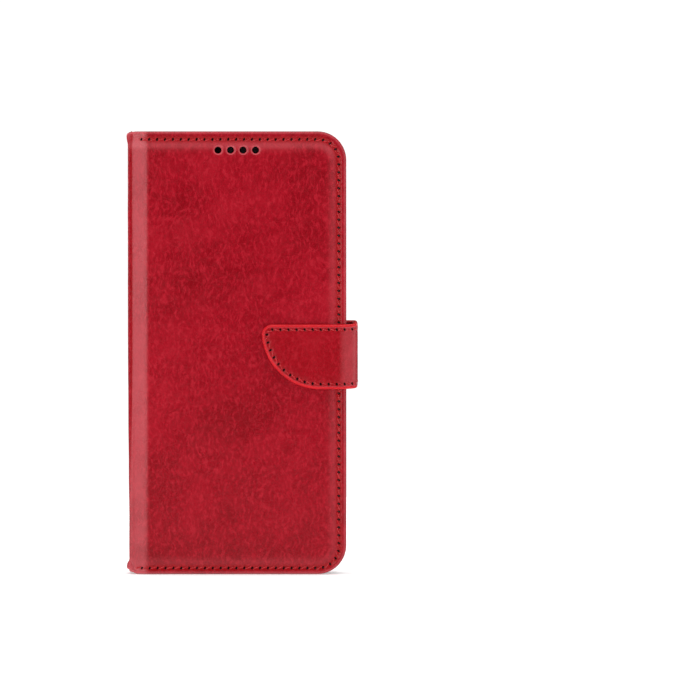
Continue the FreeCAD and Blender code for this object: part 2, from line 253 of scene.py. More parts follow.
class ShaderGraph(NodeGraph):
    """The node tree of one material."""

    def __init__(self, name: str) -> None:
        """Start an empty material of that name."""
        self.material = bpy.data.materials.new(name)
        self.material.use_nodes = True
        super().__init__(self.material.node_tree)

    def stored(self, name: str) -> Signal:
        """A vector that is stored on the piece's points."""
        return self.add("ShaderNodeAttribute", {"attribute_name": name}, {}, "Vector")

    def object_place(self) -> Signal:
        """The place on the piece, in metres."""
        return self.add("ShaderNodeTexCoord", {}, {}, "Object")

    def parts(self, vector: Signal) -> list[Signal]:
        """The three numbers of a vector."""
        return [self.add("ShaderNodeSeparateXYZ", {}, {0: vector}, axis) for axis in range(3)]

    def blend(self, factor: Signal, low: Any, high: Any) -> Signal:
        """Mix two colours, each a Signal or an RGB triple, by a factor from 0 for low to 1 for high."""
        low, high = (c if isinstance(c, Signal) else (*c, 1.0) for c in (low, high))
        return self.add("ShaderNodeMix", {"data_type": "RGBA"}, {0: factor, 6: low, 7: high}, 2)

    def noise(self, where: Signal, size: float, detail: float = 3.0, output: Any = 0) -> Signal:
        """Cloudy noise with features of a size in millimetres; output 0 is its value and 1 its colour."""
        return self.add(
            "ShaderNodeTexNoise", {}, {"Vector": where, "Scale": 1 / (size * MM), "Detail": detail}, output)

    def bent(self, where: Signal, size: float, detail: float, reach: float) -> Signal:
        """A place moved about by noise, by up to a reach in metres."""
        return where.shift(self.noise(where, size, detail, 1), reach)

    def cells(self, where: Signal, size: float) -> Signal:
        """Distance to the nearest edge between cells of a size in millimetres, 0 on an edge."""
        settings = {"feature": "DISTANCE_TO_EDGE"}
        return self.add("ShaderNodeTexVoronoi", settings, {"Vector": where, "Scale": 1 / (size * MM)})

    def relief(self, height: Signal, depth: float, strength: float = 1.0) -> Signal:
        """The normal bumped by a height of 0 to 1 that stands for a depth in millimetres."""
        return self.add("ShaderNodeBump", {}, {"Height": height, "Distance": depth * MM, "Strength": strength})

    def surface(self, **sockets: Any) -> bpy.types.Material:
        """Close the tree with a Principled shader.

        Args:
            sockets: its inputs, with underscores for the spaces in their names.

        Returns:
            The finished material.
        """
        values = {key.replace("_", " "): value for key, value in sockets.items()}
        shader = self.add("ShaderNodeBsdfPrincipled", {}, values)
        self.node("ShaderNodeOutputMaterial", {}, {"Surface": shader})
        return self.material


# ---------------------------------------------------------------- finishes


@dataclass(frozen=True)
class Leather:
    """Waxed leather with cloudy colour, fine grain, faint veins, lighter rubbed edges and darker stitch bands,
    with painted highlights, painted shade in creases and painted shade in its stitch holes.
    """

    name: str
    deep: Colour
    body: Colour
    pale: Colour
    # These two tints lay rubbed leather with painted highlights, and darker stitch bands with painted shade in
    # creases.
    worn_and_highlit: Colour
    seam_and_crease_shade: Colour
    gloss: float = 0.27
    grain: float = 0.8

    # Nearly black painted shade for the walls of the stitch holes.
    PIT_SHADE = (0.004, 0.001, 0.002)

    def material(self) -> bpy.types.Material:
        """Build the material; it reads the sheet's own place and marks from stored attributes.

        Returns:
            The finished material.
        """
        graph = ShaderGraph(self.name)
        where = graph.stored("rest")
        wear_and_highlight, seam_and_crease_shade, pit = graph.parts(graph.stored("marks"))

        bent = graph.bent(where, 9.0, 3.0, 0.006)
        clouds = graph.noise(bent, 42.0, 3.0)
        blotches = graph.noise(bent, 9.0, 5.0)
        drawn = graph.add("ShaderNodeVectorMath", {"operation": "MULTIPLY"}, {0: bent, 1: (1.0, 1.0, 0.45)})
        specks = graph.noise(drawn, 1.0, 3.0)
        scuffs = graph.noise(bent, 3.2, 6.0).step(0.58, 0.74)
        veins = 1 - graph.cells(bent, 15.0).step(0.0, 0.035)
        creases = 1 - graph.cells(graph.bent(where, 2.5, 2.0, 0.0012), 3.2).step(0.0, 0.10)
        pebble = graph.cells(graph.bent(where, 1.2, 2.0, 0.0004), self.grain).step(0.0, 0.35)
        pores = graph.noise(where, 0.28, 2.0)

        tone = (clouds * 0.38 + blotches * 0.27 + specks * 0.35).step(0.36, 0.60)
        pale = veins * blotches.step(0.46, 0.64) * 0.12 + creases * 0.05 + scuffs * 0.08
        pale = pale + specks.step(0.48, 0.70) * 0.40 + clouds.step(0.54, 0.74) * 0.25
        colour = graph.blend(tone, self.deep, self.body)
        # Over the pale texture: the dark tint for stitch bands and painted crease shade, the pink tint for rubbed
        # leather and painted highlights, then the stitch holes' painted shade.
        for share, over in ((pale, self.pale), (seam_and_crease_shade, self.seam_and_crease_shade), (wear_and_highlight * (0.55 + blotches * 0.5), self.worn_and_highlit),
                            (pit, self.PIT_SHADE)):
            colour = graph.blend(share, colour, over)

        height = pebble * 0.45 + pores * 0.2 - creases * 0.2 - veins * 0.12 + specks * 0.6
        return graph.surface(
            Base_Color=colour,
            Roughness=self.gloss + (blotches - 0.5) * 0.15 + pit * 0.65 + creases * 0.04,
            Normal=graph.relief(height, 0.05, 0.55),
            Specular_IOR_Level=0.15,
        )


@dataclass(frozen=True)
class Moulded:
    """A plain solid finish: plastic, foam, board, thread, paint or metal, with fine mottling and texture."""

    name: str
    body: Colour
    pale: Colour
    rough: float
    texture: float = 0.5
    depth: float = 0.02
    metal: float = 0.0
    specular: float = 0.5
    follows_sheet: bool = False

    def material(self) -> bpy.types.Material:
        """Build the material from Object coordinates, or from the sheet's own place.

        Returns:
            The finished material.
        """
        graph = ShaderGraph(self.name)
        where = graph.stored("rest") if self.follows_sheet else graph.object_place()
        mottle = graph.noise(where, 7.0, 4.0)
        fine = graph.noise(where, self.texture, 3.0)
        colour = graph.blend(mottle.step(0.35, 0.7) * 0.7 + fine.step(0.45, 0.75) * 0.3, self.body, self.pale)
        return graph.surface(
            Base_Color=colour,
            Roughness=self.rough + (fine - 0.5) * 0.12 + (mottle - 0.5) * 0.1,
            Metallic=self.metal,
            Normal=graph.relief(fine, self.depth, 0.6),
            Specular_IOR_Level=self.specular,
        )


@dataclass(frozen=True)
class Woven:
    """Thin pocket cloth with a plain weave that follows the sheet."""

    name: str
    body: Colour
    pale: Colour
    pitch: float = 0.45

    def material(self) -> bpy.types.Material:
        """Build the weave from two crossed waves on the sheet's own place.

        Returns:
            The finished material.
        """
        graph = ShaderGraph(self.name)
        where = graph.stored("rest")
        across, _, along = graph.parts(where)
        turns = math.tau / (self.pitch * MM)
        height = ((across * turns).sine() * (along * turns).sine()) * 0.5 + 0.5
        slub = graph.noise(where, 3.0, 3.0)
        colour = graph.blend(height * 0.6 + slub.step(0.4, 0.7) * 0.4, self.body, self.pale)
        return graph.surface(
            Base_Color=colour, Roughness=0.85 - slub * 0.1, Normal=graph.relief(height, 0.04),
            Specular_IOR_Level=0.3,
        )


@dataclass
class Finishes:
    """Every finish of the case, each made once."""

    outer: bpy.types.Material = field(init=False)
    lining: bpy.types.Material = field(init=False)
    panel: bpy.types.Material = field(init=False)
    edge_paint: bpy.types.Material = field(init=False)
    thread: bpy.types.Material = field(init=False)
    cloth: bpy.types.Material = field(init=False)

    def __post_init__(self) -> None:
        """Make the materials."""
        self.outer = Leather(
            "red_outer_leather", deep=(0.205, 0.0005, 0.0048), body=(0.315, 0.0010, 0.0098),
            pale=(0.45, 0.0150, 0.0290), worn_and_highlit=(0.62, 0.125, 0.145), seam_and_crease_shade=(0.29, 0.0003, 0.0022),
        ).material()
        self.lining = Leather(
            "dark_lining_leather", deep=(0.10, 0.003, 0.010), body=(0.20, 0.006, 0.018), pale=(0.30, 0.03, 0.045),
            worn_and_highlit=(0.34, 0.03, 0.035), seam_and_crease_shade=(0.12, 0.002, 0.006), gloss=0.52, grain=0.6,
        ).material()
        self.panel = Leather(
            "card_panel_leather", deep=(0.27, 0.012, 0.028), body=(0.42, 0.028, 0.050), pale=(0.52, 0.07, 0.095),
            worn_and_highlit=(0.62, 0.13, 0.13), seam_and_crease_shade=(0.24, 0.004, 0.012), gloss=0.50,
        ).material()
        self.edge_paint = Moulded(
            "red_edge_paint", (0.52, 0.004, 0.011), (0.62, 0.010, 0.018), 0.34, 0.9, 0.03, specular=0.22,
            follows_sheet=True,
        ).material()
        self.thread = Moulded(
            "red_thread", (0.36, 0.003, 0.009), (0.50, 0.012, 0.020), 0.28, 0.22, 0.05, specular=0.35,
            follows_sheet=True,
        ).material()
        self.cloth = Woven("pocket_cloth", (0.010, 0.012, 0.018), (0.024, 0.029, 0.042)).material()

    def dress_cad(self) -> None:
        """Give every carried-over CAD node its finish."""
        tray = Moulded("soft_tray_plastic", (0.0075, 0.009, 0.013), (0.018, 0.024, 0.034), 0.36, 0.35, 0.012)
        button = Moulded("button_plastic", (0.010, 0.012, 0.017), (0.022, 0.028, 0.038), 0.30, 0.4, 0.010)
        board = Moulded("stiffener_board", (0.16, 0.14, 0.12), (0.24, 0.21, 0.18), 0.9, 0.3, 0.04)
        foam = Moulded("pad_foam", (0.05, 0.05, 0.055), (0.09, 0.09, 0.10), 0.95, 0.3, 0.08)
        steel = Moulded("catch_steel", (0.45, 0.45, 0.46), (0.58, 0.58, 0.60), 0.32, 0.25, 0.008, metal=1.0)
        magnet = Moulded("magnet_nickel", (0.52, 0.51, 0.49), (0.64, 0.63, 0.61), 0.22, 0.3, 0.006, metal=1.0)
        made = {
            "soft_plastic": tray.material(), "board": board.material(), "foam": foam.material(),
            "steel": steel.material(), "magnet": magnet.material(), Slot.OUTER.value: self.outer,
            Slot.LINING.value: self.lining, Slot.CLOTH.value: self.cloth, Slot.THREAD.value: self.thread,
        }
        slots = {part["node"]: part["material_slot"] for part in FRAME["record"]["subparts"]}
        button_material = button.material()
        for name, node in FRAME["nodes"].items():
            finish = button_material if name.endswith("_button") else made[slots[name]]
            for place in node.material_slots:
                place.material = finish
            LOG.info("dressed %s with %s", name, finish.name)


# ---------------------------------------------------------------- plans and folds


@dataclass
class FoldLine:
    """The line that a sheet's dressed face follows, seen from above, and places measured along it."""

    points: Sequence[tuple[float, float]]  # (x from the spine's outer face, depth)
    side: Side
    last_s: float | None = None  # flat place of the last point; the first point is 0 when left out

    def __post_init__(self) -> None:
        """Round the line through its points and measure it."""
        pts = [Vector((SPINE_X + x, BACK_Y - depth)) for x, depth in self.points]
        ends = [2 * pts[0] - pts[1], *pts, 2 * pts[-1] - pts[-2]]
        line: list[Vector] = []
        for a, b, c, d in zip(ends, ends[1:], ends[2:], ends[3:]):
            count = max(2, int((c - b).length / 0.12))
            for step in range(count):
                t = step / count
                line.append(0.5 * (2 * b + (c - a) * t + (2 * a - 5 * b + 4 * c - d) * t * t
                                   + (3 * b - a - 3 * c + d) * t ** 3))
        line.append(pts[-1])
        self.line = line
        self.along = [0.0]
        for a, b in zip(line, line[1:]):
            self.along.append(self.along[-1] + (b - a).length)
        shift = 0.0 if self.last_s is None else self.last_s - self.along[-1]
        self.along = [value + shift for value in self.along]
        self.ways = []
        for index in range(len(line)):
            low, high = max(0, index - 1), min(len(line) - 1, index + 1)
            self.ways.append((line[high] - line[low]).normalized())

    @property
    def start(self) -> float:
        """Flat place of the first point."""
        return self.along[0]

    def at(self, s: float) -> tuple[Vector, Vector]:
        """Place and run at a flat distance.

        Args:
            s: the distance.

        Returns:
            The point and the unit direction of the run, seen from above.
        """
        if s <= self.along[0]:
            return self.line[0] + self.ways[0] * (s - self.along[0]), self.ways[0]
        if s >= self.along[-1]:
            return self.line[-1] + self.ways[-1] * (s - self.along[-1]), self.ways[-1]
        index = bisect.bisect_right(self.along, s) - 1
        part = (s - self.along[index]) / (self.along[index + 1] - self.along[index])
        way = self.ways[index].lerp(self.ways[index + 1], part).normalized()
        return self.line[index].lerp(self.line[index + 1], part), way

    def place(self, s: float, z: float, height: float = 0.0) -> Vector:
        """A point of the sheet, in metres.

        Args:
            s: flat distance along the section.
            z: height above the floor.
            height: how far it stands out of the dressed face.

        Returns:
            The point.
        """
        point, way = self.at(s)
        normal = Vector((-way.y, way.x)) * self.side.value
        point = point + normal * height
        return Vector((point.x, point.y, z)) * MM


@dataclass(frozen=True)
class Opening:
    """A round-cornered opening through a sheet."""

    s: float
    z: float
    half_s: float
    half_z: float
    radius: float

    def distance(self, s: float, z: float) -> float:
        """How far a flat place is outside the opening's edge.

        Args:
            s: flat distance along the section.
            z: height.

        Returns:
            The distance, negative inside.
        """
        ds = abs(s - self.s) - (self.half_s - self.radius)
        dz = abs(z - self.z) - (self.half_z - self.radius)
        return math.hypot(max(ds, 0.0), max(dz, 0.0)) + min(max(ds, dz), 0.0) - self.radius

    def loop(self, offset: float = 0.0, corner: int = 7, run: float = 1.5) -> list[Flat]:
        """The opening's outline.

        Args:
            offset: how far outside the edge it runs.
            corner: points round each corner.
            run: longest straight step.

        Returns:
            A closed loop of flat places.
        """
        radius = self.radius + offset
        inner_s, inner_z = self.half_s - self.radius, self.half_z - self.radius
        loop: list[Flat] = []
        for cs, cz, start in ((1, 1, 0), (-1, 1, 90), (-1, -1, 180), (1, -1, 270)):
            for k in range(corner):
                a = math.radians(start + 90 * k / (corner - 1))
                loop.append((self.s + cs * inner_s + radius * math.cos(a),
                             self.z + cz * inner_z + radius * math.sin(a)))
        full: list[Flat] = []
        for a, b in zip(loop, loop[1:] + loop[:1]):
            length = math.dist(a, b)
            if length < 1e-4:
                continue
            steps = max(1, math.ceil(length / run))
            full += [(a[0] + (b[0] - a[0]) * k / steps, a[1] + (b[1] - a[1]) * k / steps) for k in range(steps)]
        return full


@dataclass(frozen=True)
class Punch:
    """A small stitch hole pressed into a sheet."""

    s: float
    z: float
    angle: float  # of the stitch line, in radians
    deep: float = 1.0  # share of the full depth

    BOTTOM = -0.42
    RINGS = ((0.66, -0.03), (0.50, -0.10), (0.40, -0.36))  # radius and depth of each
    AROUND = 8  # points on a ring
    LONG, WIDE, LEAN = 1.22, 0.86, 0.18  # across the line, along it, and how the hole slants

    def points(self) -> list[tuple[float, float, float]]:
        """Its rings and its centre, as (s, z, depth).

        Returns:
            The places and depths, the centre first.
        """
        made = [(self.s, self.z, self.BOTTOM * self.deep)]
        for radius, depth in self.RINGS:
            for k in range(self.AROUND):
                a = math.tau * k / self.AROUND
                v = radius * self.LONG * math.sin(a)
                u = radius * self.WIDE * math.cos(a) + v * self.LEAN
                made.append((
                    self.s + u * math.cos(self.angle) - v * math.sin(self.angle),
                    self.z + u * math.sin(self.angle) + v * math.cos(self.angle),
                    depth * self.deep,
                ))
        return made


def painted_pit_shade(depth: float) -> float:
    """How much painted shade a stitch hole's wall gets at a depth, from 0 near the face to 1."""
    return clamp((-depth - 0.06) / 0.10)


@dataclass
class SheetPlan:
    """A cover-sized sheet: square at the spine, rounded at its free corners, with rings that follow its edge."""

    left: float  # flat place of its spine-side edge
    right: float
    low: float
    high: float
    corner: float
    rings: Sequence[float]  # distances inside the edge, negative for what is turned over it
    dense_until: float  # flat place up to which the columns stand close, for the fold
    dense: float = 0.45
    coarse: float = 1.5

    ARC = [math.radians(90 * k / 14) for k in range(1, 15)]  # turns round a corner
    CLEAR_OF_OPENING = 0.35
    CLEAR_OF_PUNCH = 0.95

    def past_corner(self, s: float, z: float) -> Flat:
        """How far a flat place lies past the middles of the free corners, along s and along z."""
        return s - (self.right - self.corner), max(self.low + self.corner - z, z - (self.high - self.corner))

    def distance(self, s: float, z: float) -> float:
        """How far a flat place is inside the top, free side or bottom edge, negative outside.

        Args:
            s: flat distance along the section.
            z: height.

        Returns:
            The distance in millimetres.
        """
        ds, dz = self.past_corner(s, z)
        if ds > 0 and dz > 0:
            return self.corner - math.hypot(ds, dz)
        return min(self.right - s, z - self.low, self.high - z)

    def outward(self, s: float, z: float) -> Flat:
        """The flat direction straight out over the edge that is nearest to a flat place.

        Args:
            s: flat distance along the section.
            z: height.

        Returns:
            A unit direction.
        """
        up = 1 if z > (self.low + self.high) / 2 else -1
        ds, dz = self.past_corner(s, z)
        if ds > 0 and dz > 0:
            length = math.hypot(ds, dz)
            return ds / length, up * dz / length
        return (1.0, 0.0) if self.right - s < min(z - self.low, self.high - z) else (0.0, float(up))

    def columns(self, until: float) -> list[float]:
        """Flat places of the columns, close at the fold.

        Args:
            until: the last one.

        Returns:
            The places.
        """
        places, s = [], self.left
        fold_end = min(self.dense_until, until)
        if fold_end > s:
            count = max(1, round((fold_end - s) / self.dense))
            places += [s + (fold_end - s) * k / count for k in range(count)]
            s = fold_end
        count = max(1, round((until - s) / self.coarse))
        return places + [s + (until - s) * k / count for k in range(count + 1)]

    def ring(self, inset: float) -> list[Flat]:
        """A line at a distance inside the edge, from the top left round to the bottom left.

        Args:
            inset: the distance, negative outside the edge.

        Returns:
            Its places; every ring has as many.
        """
        straight = self.columns(self.right - self.corner)
        radius = self.corner - inset
        cs = self.right - self.corner
        top, bottom = self.high - self.corner, self.low + self.corner
        made = [(s, self.high - inset) for s in straight]
        made += [(cs + radius * math.sin(a), top + radius * math.cos(a)) for a in self.ARC]
        count = round((top - bottom) / self.coarse)
        made += [(self.right - inset, top + (bottom - top) * k / count) for k in range(1, count + 1)]
        made += [(cs + radius * math.cos(a), bottom - radius * math.sin(a)) for a in self.ARC]
        return made + [(s, self.low + inset) for s in reversed(straight[:-1])]

    def mesh(self, openings: Sequence[Opening], punches: Sequence[Punch], bevel: Sequence[float]
             ) -> tuple[list[tuple[float, float, float]], list[tuple[int, ...]]]:
        """Triangulate the sheet.

        Args:
            openings: what is cut through it.
            punches: the stitch holes pressed into it.
            bevel: offsets of the rings of points round each opening.

        Returns:
            Its places as (s, z, pit depth), and its triangles, counter-clockwise.
        """
        outer = self.ring(self.rings[0])
        inner_rows = self.ring(self.rings[-1])
        edge_side = [self.ring(inset)[-1] for inset in self.rings[1:]]
        count = max(2, round((inner_rows[0][1] - inner_rows[-1][1]) / self.coarse))
        rows = [inner_rows[-1][1] + (inner_rows[0][1] - inner_rows[-1][1]) * k / count for k in range(count + 1)]
        seam_and_crease_shade = (edge_side[:-1] + [(self.left, z) for z in rows]
                + [self.ring(inset)[0] for inset in reversed(self.rings[1:-1])])
        outline = outer + seam_and_crease_shade

        points: list[tuple[float, float, float]] = [(s, z, 0.0) for s, z in outline]
        edges = [(k, (k + 1) % len(outline)) for k in range(len(outline))]
        for opening in openings:
            loop = opening.loop()
            first = len(points)
            points += [(s, z, 0.0) for s, z in loop]
            edges += [(first + k, first + (k + 1) % len(loop)) for k in range(len(loop))]
            for offset in bevel:
                points += [(s, z, 0.0) for s, z in opening.loop(offset)]
        for punch in punches:
            points += punch.points()

        near: dict[tuple[int, int], list[Punch]] = {}
        for punch in punches:
            near.setdefault((int(punch.s // 2), int(punch.z // 2)), []).append(punch)
        margin = (bevel[-1] if bevel else 0) + self.CLEAR_OF_OPENING

        def free(s: float, z: float) -> bool:
            """Whether a filling point keeps clear of the openings and stitch holes.

            Args:
                s: flat distance along the section.
                z: height.

            Returns:
                True where a point may stand.
            """
            if any(opening.distance(s, z) < margin for opening in openings):
                return False
            cs, cz = int(s // 2), int(z // 2)
            return all(
                math.hypot(punch.s - s, punch.z - z) > self.CLEAR_OF_PUNCH
                for ds in (-1, 0, 1) for dz in (-1, 0, 1) for punch in near.get((cs + ds, cz + dz), ())
            )

        for inset in self.rings[1:]:
            points += [(s, z, 0.0) for s, z in self.ring(inset)[1:-1] if free(s, z)]
        last = self.rings[-1]
        for s in self.columns(self.right - last)[1:]:
            for z in rows[1:-1]:
                if self.distance(s, z) > last + self.CLEAR_OF_OPENING and free(s, z):
                    points.append((s, z, 0.0))

        flat = [Vector(point[:2]) for point in points]
        verts, _, faces, origin, _, _ = delaunay_2d_cdt(flat, edges, [], 1, 1e-5)
        placed = [(v.x, v.y, points[o[0]][2] if o else 0.0) for v, o in zip(verts, origin)]
        kept = []
        for face in faces:
            s = sum(placed[k][0] for k in face) / len(face)
            z = sum(placed[k][1] for k in face) / len(face)
            if all(opening.distance(s, z) > 0 for opening in openings):
                kept.append(tuple(face))
        return placed, kept


@dataclass(frozen=True)
class EdgeTurn:
    """How a sheet rolls over its edge and under."""

    outer_r: float = 1.0
    inner_r: float = 0.5
    lap: float = 1.3
    pitch: float = 0.5  # flat distance between the rings of the roll

    def section(self, thickness: float) -> list[tuple[float, float]]:
        """The roll's points from where it leaves the face.

        Args:
            thickness: of the cover at its edge.

        Returns:
            (outwards, inwards) distances of each ring.
        """
        outer, inner = min(self.outer_r, thickness * 0.5), min(self.inner_r, thickness * 0.3)
        made = [(0.0, 0.0)]
        made += [(outer * math.sin(a), outer * (1 - math.cos(a)))
                 for a in (math.radians(k * 22.5) for k in (1, 2, 3, 4))]
        made.append((outer, outer + (thickness - inner - outer) * 0.5))
        made += [(outer - inner + inner * math.cos(b), thickness - inner + inner * math.sin(b))
                 for b in (math.radians(k * 30) for k in (0, 1, 2, 3))]
        made.append((outer - inner - self.lap, thickness))
        return made

    @property
    def rings(self) -> list[float]:
        """Distances inside the edge of the roll's rings, outermost first."""
        count = len(self.section(3.0))
        return [self.outer_r - self.pitch * k for k in range(count - 1, -1, -1)]

    def roll(self, inset: float, thickness: float) -> tuple[float, float]:
        """Where a flat place on the roll ends up.

        Args:
            inset: its flat distance inside the edge.
            thickness: of the cover there.

        Returns:
            How far out from the roll's start, and how far in from the face.
        """
        made = self.section(thickness)
        u = (self.outer_r - inset) / self.pitch
        k = min(len(made) - 2, int(u + 1e-6))
        part = min(1.0, max(0.0, u - k))
        return tuple(a + (b - a) * part for a, b in zip(made[k], made[k + 1]))


# ---------------------------------------------------------------- mesh helpers


def new_object(name: str, verts: Sequence[Vector], faces: Sequence[tuple[int, ...]],
               material: bpy.types.Material) -> bpy.types.Object:
    """A smooth-shaded mesh object at the origin.

    Args:
        name: its name.
        verts: points in metres.
        faces: its faces, outwards.
        material: its finish.

    Returns:
        The object.
    """
    mesh = bpy.data.meshes.new(name)
    mesh.from_pydata([tuple(v) for v in verts], [], faces)
    mesh.materials.append(material)
    mesh.validate()
    mesh.shade_smooth()
    obj = bpy.data.objects.new(name, mesh)
    bpy.context.scene.collection.objects.link(obj)
    return obj


def bake(obj: bpy.types.Object) -> None:
    """Turn an object's modifiers into its mesh.

    Args:
        obj: the object.
    """
    shape = bpy.data.meshes.new_from_object(obj.evaluated_get(bpy.context.evaluated_depsgraph_get()))
    obj.modifiers.clear()
    old, obj.data = obj.data, shape
    bpy.data.meshes.remove(old)


def store_rest(obj: bpy.types.Object) -> None:
    """Store each point's place, so that patterns stay on a piece when it folds.

    Args:
        obj: the piece.
    """
    rest = obj.data.attributes.new("rest", "FLOAT_VECTOR", "POINT")
    places = [0.0] * (3 * len(obj.data.vertices))
    obj.data.vertices.foreach_get("co", places)
    rest.data.foreach_set("vector", places)


def new_skin(name: str, verts: Sequence[Vector], faces: Sequence[tuple[int, ...]], turned: bool,
             marks: Sequence[Colour], material: bpy.types.Material, thickness: float) -> bpy.types.Object:
    """A closed sheet of leather or cloth, thickened behind its dressed face.

    Args:
        name: its name.
        verts: the dressed face's points in metres.
        faces: its triangles.
        turned: whether the triangles have to be turned round to face outwards.
        marks: each point's paler rubbed leather and painted highlight, its darker stitch band and painted crease
            shade, and its stitch hole's painted shade, from 0 to 1.
        material: its finish.
        thickness: in millimetres.

    Returns:
        The piece.
    """
    piece = new_object(name, verts, [tuple(reversed(face)) for face in faces] if turned else faces, material)
    stored = piece.data.attributes.new("marks", "FLOAT_VECTOR", "POINT")
    for item, value in zip(stored.data, marks):
        item.vector = value
    wall = piece.modifiers.new("thickness", "SOLIDIFY")
    wall.thickness, wall.offset, wall.use_rim = thickness * MM, -1.0, True
    bake(piece)
    piece.data.set_sharp_from_angle(angle=math.radians(50))
    store_rest(piece)
    return piece


def closed_tube(loops: Sequence[Sequence[Vector]]) -> tuple[list[Vector], list[tuple[int, ...]]]:
    """A tube through a run of closed sections, with its ends filled.

    Args:
        loops: sections of equal length, in order.

    Returns:
        Points and faces.
    """
    size = len(loops[0])
    verts = [point for loop in loops for point in loop]
    faces: list[tuple[int, ...]] = []
    for row in range(len(loops) - 1):
        for k in range(size):
            a, b = row * size + k, row * size + (k + 1) % size
            faces.append((a, b, b + size, a + size))
    faces.append(tuple(reversed(range(size))))
    faces.append(tuple(range(len(verts) - size, len(verts))))
    return verts, faces


# ---------------------------------------------------------------- stitches


@dataclass
class StitchRow:
    """A row of saddle stitches along a flat line, made by geometry nodes and then laid on a folded sheet."""

    thread: bpy.types.Material
    pitch: float = STITCH_PITCH
    radius: float = 0.25
    gap: float = 0.34
    slant: float = 0.40
    rise: float = 0.40
    sink: float = 0.34
    seed: int = 7

    SIZES = ("Pitch", "Radius", "Gap", "Slant", "Rise", "Sink")
    SECTIONS = 7  # steps along a strand, and round it

    def tree(self) -> bpy.types.GeometryNodeTree:
        """The node tree: one bent strand at every pitch along the line.

        Returns:
            The tree, with named inputs for its sizes and its seed.
        """
        tree = bpy.data.node_groups.new("stitch_row", "GeometryNodeTree")
        faces = tree.interface
        faces.new_socket("Line", in_out="INPUT", socket_type="NodeSocketGeometry")
        faces.new_socket("Stitches", in_out="OUTPUT", socket_type="NodeSocketGeometry")
        for name in self.SIZES:
            faces.new_socket(name, in_out="INPUT", socket_type="NodeSocketFloat")
        faces.new_socket("Seed", in_out="INPUT", socket_type="NodeSocketInt")
        graph = NodeGraph(tree)
        line, pitch, radius, gap, slant, rise, sink, seed = (
            graph.add("NodeGroupInput", {}, {}, name) for name in ("Line", *self.SIZES, "Seed"))

        def point(x: Any, y: Any, z: Any) -> Signal:
            """A vector from three numbers."""
            return graph.add("ShaderNodeCombineXYZ", {}, {0: x, 1: y, 2: z})

        dip = sink * -1.0
        strand = graph.add("GeometryNodeCurveQuadraticBezier", {}, {
            "Resolution": self.SECTIONS, "Start": point(gap, slant * -1.0, dip),
            "Middle": point(pitch * 0.30, slant * -1.3, rise), "End": point(pitch - gap, slant, dip)})
        section = graph.add("GeometryNodeCurvePrimitiveCircle", {"mode": "RADIUS"},
                            {"Resolution": self.SECTIONS, "Radius": radius})
        tube = graph.add("GeometryNodeCurveToMesh", {},
                         {"Curve": strand, "Profile Curve": section, "Fill Caps": True})
        path = graph.add("GeometryNodeMeshToCurve", {}, {"Mesh": line})
        places = graph.add("GeometryNodeResampleCurve", {"mode": "LENGTH"}, {"Curve": path, "Length": pitch})
        turn = graph.add("FunctionNodeAxesToRotation", {"primary_axis": "X", "secondary_axis": "Z"}, {
            "Primary Axis": graph.add("GeometryNodeInputTangent"), "Secondary Axis": (0.0, 0.0, 1.0)})
        size = graph.add("FunctionNodeRandomValue", {"data_type": "FLOAT"}, {2: 0.93, 3: 1.05, "Seed": seed}, 1)
        spread = graph.add("GeometryNodeInstanceOnPoints", {}, {
            "Points": places, "Instance": tube, "Rotation": turn, "Scale": point(1.0, size, size)})
        real = graph.add("GeometryNodeRealizeInstances", {}, {"Geometry": spread})
        soft = graph.add("GeometryNodeSetShadeSmooth", {}, {"Geometry": real})
        dressed = graph.add("GeometryNodeSetMaterial", {}, {"Geometry": soft, "Material": self.thread})
        graph.node("NodeGroupOutput", {}, {0: dressed})
        return tree

    def lay(self, name: str, line: Sequence[Flat], place: Callable[[float, float, float], Vector], side: Side,
            height: Callable[[float, float], float]) -> bpy.types.Object:
        """Make a row and lay it on a sheet.

        Args:
            name: the row's name.
            line: the flat places that it follows.
            place: gives the sheet's point for a flat place and a height.
            side: the sheet's dressed side.
            height: the dressed face's height at a flat place.

        Returns:
            The row as one plain mesh.
        """
        mesh = bpy.data.meshes.new(name)
        mesh.from_pydata([(s, z, 0.0) for s, z in line], [(k, k + 1) for k in range(len(line) - 1)], [])
        row = bpy.data.objects.new(name, mesh)
        bpy.context.scene.collection.objects.link(row)
        modifier = row.modifiers.new("stitches", "NODES")
        modifier.node_group = self.tree()
        for item in modifier.node_group.interface.items_tree:
            if item.in_out == "INPUT" and item.name in (*self.SIZES, "Seed"):
                modifier[item.identifier] = getattr(self, item.name.lower())
        bake(row)
        for vertex in row.data.vertices:
            s, z, up = vertex.co
            vertex.co = place(s, z, up + height(s, z))
        if side is Side.LEFT:
            row.data.flip_normals()
        store_rest(row)
        return row


def walk(line: Sequence[Flat], pitch: float) -> list[tuple[float, float, float]]:
    """Even steps along a flat line.

    Args:
        line: its places.
        pitch: the step.

    Returns:
        (s, z, direction) at each step, ending at the line's own end as an even resampling does.
    """
    total = sum(math.dist(a, b) for a, b in zip(line, line[1:]))
    count = max(1, int(total / pitch))
    step = total / count
    made, target, run = [], 0.0, 0.0
    for a, b in zip(line, line[1:]):
        length = math.dist(a, b)
        while target <= run + length + 1e-6 and len(made) <= count:
            t = (target - run) / length if length else 0.0
            made.append((a[0] + (b[0] - a[0]) * t, a[1] + (b[1] - a[1]) * t, math.atan2(b[1] - a[1], b[0] - a[0])))
            target += step
        run += length
    return made


